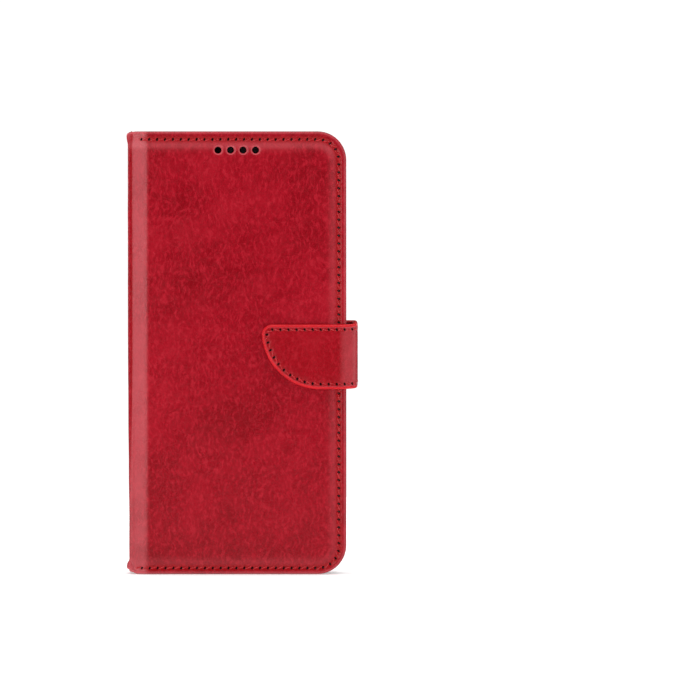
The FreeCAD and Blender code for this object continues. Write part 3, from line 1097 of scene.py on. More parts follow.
def edge_line(left: float, top: float, side: float, bottom: float) -> list[Flat]:
    """The stitch line round a cover's top, free side and bottom.

    Args:
        left: flat place of its two ends.
        top: inset from the top.
        side: inset from the free edge.
        bottom: inset from the bottom.

    Returns:
        Its places, from the top left.
    """
    high, right, low = HEIGHT - top, FREE_EDGE - side, bottom
    radius = CORNER - side
    turns = [math.radians(k * 7.5) for k in range(1, 13)]
    made = [(left, high), (right - radius, high)]
    made += [(right - radius + radius * math.sin(a), high - radius + radius * math.cos(a)) for a in turns]
    made.append((right, low + radius))
    made += [(right - radius + radius * math.cos(a), low + radius - radius * math.sin(a)) for a in turns]
    return made + [(left, low)]


def line_after(line: Sequence[Flat], start: float) -> list[Flat]:
    """The even steps of a cover's stitch line that lie past a flat place."""
    return [(s, z) for s, z, _ in walk(line, STITCH_PITCH) if s >= start]


# ---------------------------------------------------------------- sheets of the covers


@dataclass
class Sheet:
    """One leather or cloth sheet of the case: its plan, its fold, what is cut in it and how its face rises."""

    name: str
    plan: SheetPlan
    fold: FoldLine
    material: bpy.types.Material
    thickness: float
    openings: Sequence[Opening] = ()
    punches: Sequence[Punch] = ()
    bevel: Sequence[float] = ()
    turn: EdgeTurn | None = None
    cover_thickness: Callable[[float], float] = lambda s: 2.0
    rise: Marking = lambda s, z, inset: 0.0
    # The first mark lays rubbed leather and painted highlights, the second darker stitch bands and painted crease
    # shade.
    wear_and_highlight: Marking = lambda s, z, inset: 0.0
    seam_and_crease_shade: Marking = lambda s, z, inset: 0.0
    shape: Callable[[float, float, float], tuple[float, float]] = lambda s, z, height: (z, height)

    BEVEL_DROP = 0.30

    def height(self, s: float, z: float) -> float:
        """The face's height at a flat place, without its stitch holes.

        Args:
            s: flat distance along the section.
            z: height above the floor.

        Returns:
            The height in millimetres.
        """
        made = self.rise(s, z, self.plan.distance(s, z))
        for opening in self.openings:
            gap = opening.distance(s, z)
            if self.bevel and gap < self.bevel[-1]:
                made -= self.BEVEL_DROP * (1 - max(gap, 0.0) / self.bevel[-1]) ** 2
        return made

    def build(self) -> bpy.types.Object:
        """Make the sheet as a closed mesh with its marks stored on it.

        Returns:
            The piece.
        """
        flat, faces = self.plan.mesh(self.openings, self.punches, self.bevel)
        verts, marks = [], []
        for s, z, pit in flat:
            inset = self.plan.distance(s, z)
            if self.turn and inset < self.turn.outer_r - 1e-4:
                out_s, out_z = self.plan.outward(s, z)
                base = self.turn.outer_r - inset
                s, z = s - out_s * base, z - out_z * base
                out, inwards = self.turn.roll(inset, self.cover_thickness(s))
                face = self.height(s, z)
                s, z, height = s + out_s * out, z + out_z * out, face * max(0.0, 1 - inwards) - inwards
            else:
                height = self.height(s, z) + pit
            verts.append(self.fold.place(s, *self.shape(s, z, height)))
            marks.append((self.wear_and_highlight(s, z, inset), self.seam_and_crease_shade(s, z, inset), painted_pit_shade(pit)))
        return new_skin(
            self.name, verts, faces, self.fold.side is Side.LEFT, marks, self.material, self.thickness)


def ends_of_spine(flare: tuple[float, float], lean: float = 0.0
                  ) -> Callable[[float, float, float], tuple[float, float]]:
    """How a sheet's ends settle at the spine: shorter than the covers, with a small ear at each end.

    Args:
        flare: how far the ear stands out at the top and at the bottom.
        lean: how much flatter the spine lies near its foot.

    Returns:
        A function from (s, z, height) to (z, height).
    """
    top, bottom = END_DIP

    def shape(s: float, z: float, height: float) -> tuple[float, float]:
        """The settled height above the floor, and the settled rise.

        Args:
            s: flat distance along the section.
            z: height above the floor.
            height: how far it stands out of the dressed face.

        Returns:
            Both, in millimetres.
        """
        near = 1 - smooth(-0.5, END_REACH, s)
        upper = smooth(HEIGHT - 9, HEIGHT, z)
        lower = 1 - smooth(0, 9, z)
        new_z = z - top * near * upper + bottom * near * lower
        end = min(z, HEIGHT - z)
        ear = (1 - smooth(2.2, 5.0, end)) * (1 - smooth(-0.2, 2.6, s))
        foot = lean * (1 - smooth(8, 90, z)) * (1 - smooth(0.5, 2.5, s))
        return new_z, height + (flare[0] if z > HEIGHT / 2 else flare[1]) * ear - foot

    return shape


@dataclass
class Covers:
    """The two covers and the spine between them: outer leather, linings, card panel and pockets."""

    finishes: Finishes
    leather: float = 0.7
    front_lining: float = 0.28
    back_lining: float = 0.5
    panel: float = 0.48
    cloth: float = 0.08
    stitch_top: float = 3.1
    stitch_side: float = 2.9
    stitch_bottom: float = 2.3
    holes_middle: float = 42.0
    hole_r: float = 1.325
    hole_pitch: float = 4.8
    hole_drop: float = 7.2
    blend_front: float = 2.8
    blend_back: float = 2.2
    middle: float = 7.6  # depth at which the spine's two halves meet
    camera_middle: Flat = (58.3, 140.4)

    def __post_init__(self) -> None:
        """Read the places that follow from the frame."""
        self.front_face = node_depth("front_outer_leather", True)
        self.panel_face = node_depth("inner_panel_leather", False)
        self.front_t = self.front_face - node_depth("front_outer_leather", False)
        self.back_t = node_depth("back_lining", True)
        self.spine_t = (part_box("spine_lining")[1][0] / MM) - SPINE_X
        self.holes = [
            Opening(self.holes_middle + (k - 1.5) * self.hole_pitch, HEIGHT - self.hole_drop,
                    self.hole_r, self.hole_r, self.hole_r)
            for k in range(4)
        ]

    def stitch_inset(self, z: float) -> float:
        """How far inside the edge the stitch line runs at a height."""
        return (self.stitch_bottom + (self.stitch_side - self.stitch_bottom) * smooth(4, 18, z)
                + (self.stitch_top - self.stitch_side) * smooth(HEIGHT - 18, HEIGHT - 4, z))

    def stitch_line(self, left: float) -> list[Flat]:
        """The stitch line round a cover, from a flat place at its top to the same place at its foot."""
        return edge_line(left, self.stitch_top, self.stitch_side, self.stitch_bottom)

    def seam_mark(self, s: float, z: float, inset: float) -> float:
        """The darker band along the stitch line."""
        return (1 - smooth(0.7, 1.35, abs(inset - self.stitch_inset(z)))) * 0.9 * smooth(3.0, 6.0, s)

    def worn_ends(self, s: float, z: float) -> float:
        """Paler leather at the two ends of the spine."""
        return (1 - smooth(1.5, 5.0, min(z, HEIGHT - z))) * (1 - smooth(-1, 3, s)) * 0.5

    def cover_plan(self, fold: FoldLine, rings: Sequence[float]) -> SheetPlan:
        """The plan of a cover's outer leather."""
        return SheetPlan(fold.start, FREE_EDGE, 0.0, HEIGHT, CORNER, rings, FOLD_UNTIL)

    def inner_plan(self, left: float, rings: Sequence[float], dense_until: float, coarse: float) -> SheetPlan:
        """The plan of a sheet inside a cover, a little smaller than the cover."""
        return SheetPlan(left, FREE_EDGE - INNER_INSET, INNER_INSET, HEIGHT - INNER_INSET, CORNER - INNER_INSET,
                         rings, dense_until, 0.4, coarse)

    def declare_fold(self, piece: bpy.types.Object, cover: Cover, spine_share: float = 1.0) -> None:
        """Bake a piece's place into its mesh; the ends of its bend across one of the spine's folds are worked out
        and left unused.

        Args:
            piece: the piece.
            cover: the cover at the other side of the fold.
            spine_share: how much of the bend's reach is kept on the spine's side.
        """
        front = cover is Cover.FRONT
        x, depth = joint_place("cover_fold" if front else "spine_fold")
        reach = (self.blend_front if front else self.blend_back) / math.sqrt(2)
        way = -1 if front else 1
        start, end = (
            Vector((SPINE_X + x + share * reach, BACK_Y - depth + share * way * reach, HEIGHT / 2)) * MM
            for share in (-spine_share, 1.0)
        )
        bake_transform(piece)
        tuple(start)
        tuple(end)

    def stitch(self, row: StitchRow, name: str, node: str, line: Sequence[Flat], sheet: Sheet, cover: Cover
               ) -> bpy.types.Object:
        """Lay a row of stitches on a sheet, in place of a CAD thread.

        Args:
            row: the stitches' sizes.
            name: the row's name.
            node: the CAD thread.
            line: the flat places that it follows.
            sheet: the sheet that it is sewn through.
            cover: the cover that it moves with.

        Returns:
            The row.
        """
        stitches = row.lay(name, line, sheet.fold.place, sheet.fold.side, sheet.height)
        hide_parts(node)
        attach(stitches, cover.value)
        return stitches

    def front_rise(self, s: float, z: float, inset: float) -> float:
        """The padded face: a pressed stitch line, and foam that rises inside it.

        Args:
            s: flat distance along the section.
            z: height above the floor.
            inset: flat distance inside the edge.

        Returns:
            The rise in millimetres.
        """
        line = self.stitch_inset(z)
        groove = -0.22 * bell(inset, line, 0.55) * smooth(4.0, 7.5, s)
        rim = 0.10 * bell(inset, line * 0.52, 0.6)
        climb = clamp((inset - line - 0.5) / 3.4)
        pad = 0.36 * (0.75 * climb + 0.25 * smooth(0.0, 1.0, climb)) * clamp((s - 2.0) / 5.5)
        flow = waviness(s, z, 21, 3.1) * 0.10 + waviness(s, z, 8, 8.4) * 0.035
        return groove + rim + pad + flow * smooth(line, line + 6, inset)

    def front_leather(self) -> list[bpy.types.Object]:
        """The front cover's padded leather, from the middle of the spine to the turned edges, and its stitches.

        Returns:
            The leather and its stitches.
        """
        face = self.front_face
        fold = FoldLine(
            [(0.0, self.middle), (-0.02, 9.4), (0.0, 11.2), (0.02, 12.9), (0.10, 14.0), (0.38, 14.85), (0.9, 15.2),
             (1.4, 15.12), (1.68, 14.96), (2.0, 15.08), (2.6, 15.19), (3.6, 15.36), (4.6, 15.53), (5.6, 15.70),
             (6.6, 15.86), (7.4, 15.965), (8.2, face), (9.4, face)], Side.RIGHT, 9.4)
        turn = EdgeTurn()
        rings = turn.rings + [1.3, 1.7, 2.05, 2.35, 2.65, 2.95, 3.25, 3.6, 4.1, 4.9, 5.9, 7.2]
        line = self.stitch_line(5.4)
        punches = [Punch(s, z, angle, 0.5 if s < 7 else 1.0) for s, z, angle in walk(line, STITCH_PITCH)]

        def wear_and_highlight(s: float, z: float, inset: float) -> float:
            """Paler leather on the turned edge and round the holes, with painted highlights on the spine's slope,
            on the pad's rise inside the stitches (strongest at the top) and on the holes' lower rims.

            Args:
                s: flat distance along the section.
                z: height above the floor.
                inset: flat distance inside the edge.

            Returns:
                How pale it is, from 0 to 1.
            """
            # Painted highlight on the slope down to the spine.
            begin = 1.9 - 1.5 * (1 - smooth(8, 90, z))
            slope = smooth(begin - 0.25, begin + 0.25, s) * (1 - smooth(5.8, 8.6, s)) * 0.46
            edge = bell(inset, 0.4, 0.5) * 0.45
            near = min(self.holes, key=lambda hole: hole.distance(s, z))
            below = (near.z - z) / max(0.5, math.hypot(s - near.s, z - near.z))
            # A paler punched rim round each speaker hole, with a painted highlight on its lower side.
            ring = bell(near.distance(s, z), 0.30, 0.19) * (0.62 + 0.28 * below)
            # Painted highlight on the pad's rise just inside the stitches, stronger near the top.
            top = smooth(HEIGHT - 12, HEIGHT - 6, z)
            crest = bell(inset - self.stitch_inset(z), 2.2, 1.5) * (0.14 + 0.20 * top)
            return min(1.0, slope + edge + ring + crest + self.worn_ends(s, z))

        def seam_and_crease_shade(s: float, z: float, inset: float) -> float:
            """Darker leather along the stitches, and painted shade in the crease beside the spine's strip."""
            # Painted shade in the spine's crease.
            crease = bell(s, 1.55, 0.45) * 0.8 * smooth(5, 80, z)
            return min(1.0, self.seam_mark(s, z, inset) + crease)

        sheet = Sheet(
            "front_padded_leather", self.cover_plan(fold, rings), fold, self.finishes.outer, self.leather,
            self.holes, punches, (0.12, 0.28, 0.46, 0.7, 1.1), turn,
            lambda s: self.spine_t + (self.front_t - self.spine_t) * smooth(0.0, 4.5, s),
            self.front_rise, wear_and_highlight, seam_and_crease_shade, ends_of_spine((0.4, 0.9), 0.45),
        )
        piece = sheet.build()
        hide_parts("front_outer_leather", "spine_outer_leather")
        self.declare_fold(piece, Cover.FRONT)
        return [piece, self.stitch(StitchRow(self.finishes.thread), "front_cover_stitches", "front_cover_thread",
                                   line_after(line, STITCHES_FROM), sheet, Cover.FRONT)]

    def back_leather(self) -> list[bpy.types.Object]:
        """The back cover's leather with its camera opening, from the middle of the spine, and its stitches.

        Returns:
            The leather and its stitches.
        """
        fold = FoldLine(
            [(0.0, self.middle), (-0.02, 6.2), (0.0, 4.6), (0.02, 3.2), (0.10, 2.1), (0.36, 1.2), (0.85, 0.72),
             (1.25, 0.62), (1.6, 0.55), (2.1, 0.34), (3.0, 0.13), (4.2, 0.04), (6.0, 0.0), (9.0, 0.0)],
            Side.LEFT, 9.0)
        turn = EdgeTurn(0.8, 0.4, 1.2)
        rings = turn.rings + [1.2, 1.7, 2.05, 2.35, 2.65, 2.95, 3.25, 3.6, 4.3, 5.2, 6.5]
        line = self.stitch_line(3.2)
        camera = self.camera_opening(1.9)

        def rise(s: float, z: float, inset: float) -> float:
            """A pressed stitch line, a creased line round the camera, and a faint waviness.

            Args:
                s: flat distance along the section.
                z: height above the floor.
                inset: flat distance inside the edge.

            Returns:
                The rise in millimetres.
            """
            groove = -0.2 * bell(inset, self.stitch_inset(z), 0.5)
            crease = -0.10 * bell(camera.distance(s, z), 2.4, 0.4)
            return groove + crease + waviness(s, z, 24, 12.0) * 0.05 * smooth(3, 8, inset)

        def wear_and_highlight(s: float, z: float, inset: float) -> float:
            """Paler leather on the turned edge and at the camera opening."""
            edge = bell(inset, 0.4, 0.5) * 0.75
            return min(1.0, edge + bell(camera.distance(s, z), 0.0, 0.5) * 0.6 + self.worn_ends(s, z))

        def seam_and_crease_shade(s: float, z: float, inset: float) -> float:
            """Darker leather along the stitches and the pressed line, and painted shade in the crease by the
            spine.
            """
            pressed = bell(camera.distance(s, z), 2.4, 0.4) * 0.5
            # The bell across s is painted shade in the crease by the spine.
            return min(1.0, self.seam_mark(s, z, inset) + bell(s, 1.5, 0.5) * 0.6 + pressed)

        sheet = Sheet(
            "back_leather", self.cover_plan(fold, rings), fold, self.finishes.outer, self.leather, [camera],
            [Punch(s, z, angle) for s, z, angle in walk(line, STITCH_PITCH)], (0.3, 0.8), turn,
            lambda s: self.spine_t + (self.back_t - self.spine_t) * smooth(0.0, 4.0, s),
            rise, wear_and_highlight, seam_and_crease_shade, ends_of_spine((0.4, 0.9), 0.45),
        )
        piece = sheet.build()
        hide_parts("back_outer_leather")
        self.declare_fold(piece, Cover.BACK)
        return [piece, self.stitch(StitchRow(self.finishes.thread), "back_cover_stitches", "back_cover_thread",
                                   line_after(line, STITCHES_FROM), sheet, Cover.BACK)]

    def camera_opening(self, margin: float) -> Opening:
        """The camera opening, larger all round than the phone's camera window by a margin."""
        return Opening(*self.camera_middle, 19.0 + margin, 20.0 + margin, 11.0 + margin)

    def lining_rise(self, s: float, z: float, inset: float) -> float:
        """Creases along the spine, and gathers where it ends.

        Args:
            s: flat distance along the section.
            z: height above the floor.
            inset: flat distance inside the edge.

        Returns:
            The rise in millimetres.
        """
        along = 0.16 * spine_creases(s, z) + 0.07 * noise.noise(Vector((s * 2.6, z / 20, 9.0)))
        end = 1 - smooth(1.0, 9.0, inset)
        gather = 0.28 * end * math.sin(s * 2.1 + 1.5 * noise.noise(Vector((s, 0.0, 2.0))))
        return (along + gather) * (1 - smooth(5.0, 9.0, s))

    def linings(self) -> list[bpy.types.Object]:
        """The lining leather of the front and back halves, which meet along the spine.

        Returns:
            The front lining and the back one.
        """
        inside, back = self.spine_t, self.back_t
        front = node_depth("front_cover_lining", False)
        front_fold = FoldLine(
            [(inside, self.middle), (inside, 9.5), (inside, 11.2), (inside + 0.12, 12.3), (inside + 0.62, 13.2),
             (inside + 1.5, front - 0.12), (inside + 3.0, front), (9.0, front)], Side.LEFT, 9.0)
        back_fold = FoldLine(
            [(inside, self.middle), (inside, 5.6), (inside, 3.8), (inside + 0.10, 2.95), (inside + 0.45, 2.4),
             (inside + 1.3, back + 0.03), (inside + 2.6, back), (9.0, back)], Side.RIGHT, 9.0)
        made = []
        for name, fold, cover, nodes, openings, thickness, board, share in (
            ("front_lining", front_fold, Cover.FRONT, ("front_cover_lining", "spine_lining"), self.holes,
             self.front_lining, "front_stiffener_board", 0.3),
            ("back_inner_lining", back_fold, Cover.BACK, ("back_lining",), [self.camera_opening(1.8)],
             self.back_lining, "back_stiffener_board", 1.0),
        ):
            piece = Sheet(
                name, self.inner_plan(fold.start, (0.0, 0.5, 1.2, 2.4), FOLD_UNTIL, 2.2), fold,
                self.finishes.lining, thickness, openings,
                rise=self.lining_rise,
                wear_and_highlight=lambda s, z, inset: bell(inset, 0.0, 0.8) * 0.5 * (1 - smooth(5, 8, s)),
                seam_and_crease_shade=lambda s, z, inset: 0.5 * smooth(0.1, 0.5, spine_creases(s, z)),
                shape=ends_of_spine((0.0, 0.0)),
            ).build()
            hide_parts(*nodes)
            length = FREE_EDGE - INNER_INSET - fold.start
            length * MM
            self.declare_fold(piece, cover, share)
            made.append(piece)
        return made

    def card_panel(self) -> list[bpy.types.Object]:
        """The leather card panel inside the front cover, with its slots, thumb window and stitches.

        Returns:
            The panel and its stitches.
        """
        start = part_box("inner_panel_leather")[0][0] / MM - SPINE_X
        fold = FoldLine([(start, self.panel_face), (start + 30, self.panel_face)], Side.LEFT, start + 30)
        slots = [Opening(46.6, z, 27.7, 1.5, 1.45) for z in (88.8, 107.4, 125.9)]
        window = Opening(46.4, 52.6, 9.4, 14.6, 9.35)
        openings = [*slots, window, *self.holes]
        rings = (0.0, 0.2, 0.5, 0.9, 1.5, 2.0, 2.3, 2.6, 2.9, 3.2, 3.6, 4.4, 5.6)
        seam_s = start + 2.25

        def pressed(s: float, z: float) -> tuple[float, float]:
            """How far a flat place is outside the thumb window and outside the nearest slot."""
            return window.distance(s, z), min(slot.distance(s, z) for slot in slots)

        def rise(s: float, z: float, inset: float) -> float:
            """Rounded edges, the pressed line round the window and beside the slots, and the seams' grooves.

            Args:
                s: flat distance along the section.
                z: height above the floor.
                inset: flat distance inside the edge.

            Returns:
                The rise in millimetres.
            """
            from_window, from_slot = pressed(s, z)
            edge = -0.22 * (1 - smooth(0.0, 0.6, min(inset, s - start)))
            window_line = -0.14 * bell(from_window, 2.2, 0.32)
            slot_line = -0.10 * bell(from_slot, 1.5, 0.3)
            groove = -0.14 * bell(s, seam_s, 0.45)
            round_seam = -0.14 * bell(inset - self.stitch_inset(z), -INNER_INSET, 0.45)
            return edge + window_line + slot_line + groove + round_seam + waviness(s, z, 16, 5.0) * 0.07

        def wear_and_highlight(s: float, z: float, inset: float) -> float:
            """Paler leather on the cut edges and at the slots' ends.

            Args:
                s: flat distance along the section.
                z: height above the floor.
                inset: flat distance inside the edge.

            Returns:
                How pale it is, from 0 to 1.
            """
            cut = bell(min(inset, s - start), 0.0, 0.4) * 0.6
            rims = max(bell(opening.distance(s, z), 0.0, 0.35) for opening in openings) * 0.8
            return min(1.0, cut + rims)

        def seam_and_crease_shade(s: float, z: float, inset: float) -> float:
            """Darker leather in the pressed lines.

            Args:
                s: flat distance along the section.
                z: height above the floor.
                inset: flat distance inside the edge.

            Returns:
                How dark it is, from 0 to 1.
            """
            from_window, from_slot = pressed(s, z)
            lines = bell(from_window, 2.2, 0.35) * 0.7 + bell(from_slot, 1.5, 0.3) * 0.5
            return min(1.0, lines + bell(s, seam_s, 0.45) * 0.6)

        sheet = Sheet("card_panel", self.inner_plan(start, rings, start + 6, 1.4), fold, self.finishes.panel,
                      self.panel, openings, bevel=(0.12, 0.35, 0.7), rise=rise, wear_and_highlight=wear_and_highlight, seam_and_crease_shade=seam_and_crease_shade)
        piece = sheet.build()
        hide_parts("inner_panel_leather")
        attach(piece, Cover.FRONT.value)
        row = StitchRow(self.finishes.thread, pitch=2.9, radius=0.24, gap=0.35)
        line = self.stitch_line(seam_s) + [(seam_s, 2.5), (seam_s, HEIGHT - 3.3)]
        return [piece, self.stitch(row, "card_panel_stitches", "inner_panel_thread", line, sheet, Cover.FRONT)]

    def pockets(self) -> list[bpy.types.Object]:
        """The thin cloth sheets behind the card slots and the cash pocket's sheet.

        Returns:
            The three card sheets and the cash pocket's sheet.
        """
        cards = ("card_pocket_upper", "card_pocket_middle", "card_pocket_lower")
        made = []
        for index, node in enumerate((*cards, "cash_pocket_sheet")):
            card = node in cards
            low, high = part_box(node)
            left, right = low[0] / MM - SPINE_X, high[0] / MM - SPINE_X
            depth = BACK_Y - high[1] / MM
            fold = FoldLine([(left, depth), (left + 20, depth)], Side.LEFT, left + 20)
            plan = SheetPlan(left, right, low[2] / MM, high[2] / MM, 1.5 if card else CORNER - INNER_INSET,
                             (0.0, 0.4, 1.2, 2.4), left, 0.5, 2.0)
            piece = Sheet(
                node + "_cloth", plan, fold, self.finishes.cloth, self.cloth, () if card else self.holes,
                rise=lambda s, z, inset, layer=20.0 + index: 0.05 * waviness(s, z, 14, layer) - 0.02,
            ).build()
            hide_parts(node)
            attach(piece, Cover.FRONT.value)
            made.append(piece)
        return made


# ---------------------------------------------------------------- strap


@dataclass
class Strap:
    """The closing strap: leather, lining and painted edge, bent round the covers' free edge."""

    finishes: Finishes
    bend_r: float = 2.5
    front_bend: tuple[float, float] = (8.5, 3.3)  # along x and along depth
    root_lift: float = 1.3  # how much higher the strap sits at its root than at its tab
    settle: float = -0.5  # how much lower the whole strap hangs than its cores
    tab_run: float = 6.0  # straight run of the fold line past the front bend
    skin: float = 0.9
    edge_inset: float = 0.75
    stitch_inset: float = 2.0
    stitch_seat: float = -0.12
    stitches_from: float = 2.6
    sweep_r: float = 22.5
    corner_r: float = 4.0
    root_blend: float = 2.6
    tab_blend: float = 4.2

    EDGE_ROWS = (0.25, 0.55, 1.0, 1.6)  # distances inside the edge of the rows that follow it
    FILL_FROM = 2.1
    FINE, COARSE = 0.55, 1.3  # steps of the filling points, along the bends and elsewhere
    CLEAR = (0.9, 0.95)  # of a stitch hole, for the rows and for the filling points

    def __post_init__(self) -> None:
        """Read the places that follow from the frame, and bend the fold line."""
        tab_low, tab_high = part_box("strap_tab_leather")
        self.low, self.high = tab_low[2] / MM, tab_high[2] / MM
        self.tip = tab_low[0] / MM - SPINE_X
        self.face_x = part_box("strap_side_leather")[1][0] / MM - SPINE_X
        self.face_depth = BACK_Y - tab_low[1] / MM
        root_low, root_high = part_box("strap_root")
        self.root_depth = BACK_Y - root_high[1] / MM
        self.thick = self.face_depth - node_depth("strap_tab_lining", False)
        centre_x = self.face_x - self.bend_r
        wide, deep = self.front_bend
        front_x = self.face_x - wide
        near, far = self.root_depth + self.bend_r, self.face_depth - deep
        turns = [math.radians(k * 15) for k in range(7)]
        bend_back = [(centre_x + self.bend_r * math.sin(a), near - self.bend_r * math.cos(a)) for a in turns]
        bend_front = [(front_x + wide * math.cos(a), far + deep * math.sin(a)) for a in turns]
        middle = (near + far) / 2
        self.end_x = front_x - self.tab_run
        points = [(FREE_EDGE - 0.7, self.root_depth), (FREE_EDGE + 0.8, self.root_depth), *bend_back,
                  (self.face_x, near + 2), (self.face_x + 0.12, middle), (self.face_x, far - 2), *bend_front,
                  (front_x - 2, self.face_depth), (self.end_x, self.face_depth)]
        self.fold = FoldLine(points, Side.LEFT)
        self.end_s = self.fold.along[-1]
        self.mid_s = min(self.fold.along, key=lambda s: abs(BACK_Y - self.fold.at(s)[0].y - middle))

    def place(self, s: float, z: float, height: float) -> Vector:
        """A point of the strap in metres, from a flat place; the strap climbs a little towards its root."""
        climb = 1 - smooth(self.mid_s - 9.0, self.end_s - 7.0, s)
        return self.fold.place(s, z + self.settle + self.root_lift * climb, height)

    def seat(self, s: float, z: float) -> float:
        """Height at which the stitches lie, the same all along."""
        return self.stitch_seat

    def tab_outline(self, inset: float) -> list[Flat]:
        """The tab's edge from the middle of the side band, along the top, round the tip and back below.

        Args:
            inset: how far inside the edge it runs.

        Returns:
            An open line of flat places.
        """
        tip, low, high = self.tip + inset, self.low + inset, self.high - inset
        sweep, small = self.sweep_r - inset, self.corner_r - inset
        big = (tip + sweep, low + sweep)
        small_z = high - small
        small_x = big[0] - math.sqrt((sweep - small) ** 2 - (big[1] - small_z) ** 2)
        meet = math.atan2(small_z - big[1], small_x - big[0]) % math.tau
        line = [(small_x + small * math.cos(a), small_z + small * math.sin(a))
                for a in (math.pi / 2 + (meet - math.pi / 2) * k / 8 for k in range(9))]
        line += [(big[0] + sweep * math.cos(a), big[1] + sweep * math.sin(a))
                 for a in (meet + (1.5 * math.pi - meet) * k / 22 for k in range(1, 23))]
        flat = [(self.end_s + self.end_x - x, z) for x, z in line]
        first, last = flat[0], flat[-1]
        top = [(self.mid_s + (first[0] - self.mid_s) * k / 60, high) for k in range(60)]
        under = [(last[0] + (self.mid_s - last[0]) * k / 45, low) for k in range(1, 46)]
        return top + flat + under

    def filling(self, outline: Sequence[Flat], line: Sequence[Flat], punches: Sequence[Punch]) -> list[Flat]:
        """Places that fill a skin, in rows along its long edges and in columns between them.

        Args:
            outline: the skin's closed outline.
            line: the part of it that the rows follow.
            punches: the stitch holes that they keep clear of.

        Returns:
            The places.
        """
        low_s, high_s = min(s for s, _ in line), max(s for s, _ in line)
        middle = (0.5 * (low_s + high_s), (self.low + self.high) / 2)
        row_clear, fill_clear = self.CLEAR

        def inside(s: float, z: float) -> float:
            """How far a flat place is inside the outline, negative outside.

            Args:
                s: flat distance along the strap.
                z: height.

            Returns:
                The distance in millimetres.
            """
            within, best = False, 1e9
            for a, b in zip(outline, outline[1:] + outline[:1]):
                if (a[1] > z) != (b[1] > z) and s < a[0] + (z - a[1]) / (b[1] - a[1]) * (b[0] - a[0]):
                    within = not within
                span = (b[0] - a[0], b[1] - a[1])
                t = clamp(((s - a[0]) * span[0] + (z - a[1]) * span[1]) / max(1e-9, span[0] ** 2 + span[1] ** 2))
                best = min(best, math.hypot(s - a[0] - t * span[0], z - a[1] - t * span[1]))
            return best if within else -best

        def free(s: float, z: float, clear: float) -> bool:
            """Whether a flat place keeps clear of the stitch holes."""
            return all(math.hypot(punch.s - s, punch.z - z) > clear for punch in punches)

        made: list[Flat] = []
        for offset in self.EDGE_ROWS:
            for a, b in zip(line, line[1:]):
                length = math.dist(a, b) or 1e-9
                mid = ((a[0] + b[0]) / 2, (a[1] + b[1]) / 2)
                normal = (-(b[1] - a[1]) / length, (b[0] - a[0]) / length)
                if (middle[1] - mid[1]) * normal[1] + (middle[0] - mid[0]) * normal[0] < 0:
                    normal = (-normal[0], -normal[1])
                s, z = mid[0] + normal[0] * offset, mid[1] + normal[1] * offset
                if inside(s, z) > offset * 0.9 and free(s, z, row_clear):
                    made.append((s, z))
        s = low_s + 0.5
        while s < high_s:
            z = self.low + 1.0
            while z < self.high:
                if inside(s, z) > self.FILL_FROM and free(s, z, fill_clear):
                    made.append((s, z))
                z += self.COARSE
            s += self.FINE if s < self.end_s else self.COARSE
        return made

    def layer(self, name: str, line: Sequence[Flat], height: float, material: bpy.types.Material,
              dressed_out: bool, punches: Sequence[Punch]) -> bpy.types.Object:
        """One of the strap's two skins.

        Args:
            name: the piece's name.
            line: its flat outline, closed by a straight cut.
            height: of its dressed face over the strap's outer face.
            material: its finish.
            dressed_out: True when its dressed face is the strap's outer one.
            punches: the stitch holes pressed into it.

        Returns:
            The piece.
        """
        (first_s, first_z), (last_s, last_z) = line[0], line[-1]
        cut = [(last_s + (first_s - last_s) * k / 20, last_z + (first_z - last_z) * k / 20) for k in range(1, 20)]
        outline = list(line) + cut
        points = [(s, z, 0.0) for s, z in outline]
        edges = [(k, (k + 1) % len(outline)) for k in range(len(outline))]
        for punch in punches:
            points += punch.points()
        points += [(s, z, 0.0) for s, z in self.filling(outline, line, punches)]
        verts, _, faces, origin, _, _ = delaunay_2d_cdt([Vector(p[:2]) for p in points], edges, [], 1, 1e-5)
        placed, marks = [], []
        turn = 1.0 if dressed_out else -1.0
        for v, o in zip(verts, origin):
            pit = points[o[0]][2] if o else 0.0
            edge = self.edge_distance(v.x, v.y)
            from_stitches = edge - self.stitch_inset
            soft = -0.14 * (1 - smooth(0.0, 0.55, edge)) - 0.14 * bell(from_stitches, -self.edge_inset, 0.45)
            flow = 0.05 * waviness(v.x, v.y, 9, 30.0 + turn)
            placed.append(self.place(v.x, v.y, height + turn * (soft + flow + pit)))
            # A rubbed painted border, plus a painted highlight where the strap bends.
            worn_and_highlit = bell(edge, 0.0, 0.35) * 0.7 + self.bend_highlight(v.x) * 0.32
            seam_and_crease_shade = 0.3 + 0.45 * (1 - smooth(0.3, 0.9, abs(from_stitches + self.edge_inset)))
            marks.append((min(1.0, worn_and_highlit), seam_and_crease_shade, painted_pit_shade(pit)))
        return new_skin(name, placed, faces, dressed_out, marks, material, self.skin)

    def edge_distance(self, s: float, z: float) -> float:
        """How far a flat place is inside the skins' painted border.

        Args:
            s: flat distance along the strap.
            z: height.

        Returns:
            The distance.
        """
        straight = min(z - self.low, self.high - z)
        x = self.end_x + self.end_s - s
        centre = (self.tip + self.sweep_r, self.low + self.sweep_r)
        if x < centre[0] and z < centre[1] + 10:
            straight = min(straight, self.sweep_r - math.hypot(x - centre[0], z - centre[1]))
        return straight - self.edge_inset

    def bend_highlight(self, s: float) -> float:
        """Painted highlight where the strap bends, from 0 to 1.

        Args:
            s: flat distance along the strap.

        Returns:
            How strong the painted highlight is.
        """
        _, way = self.fold.at(s)
        turned = math.degrees(math.atan2(abs(way.y), abs(way.x)))
        return smooth(2.0, 14.0, turned) * (1 - smooth(45.0, 75.0, turned))

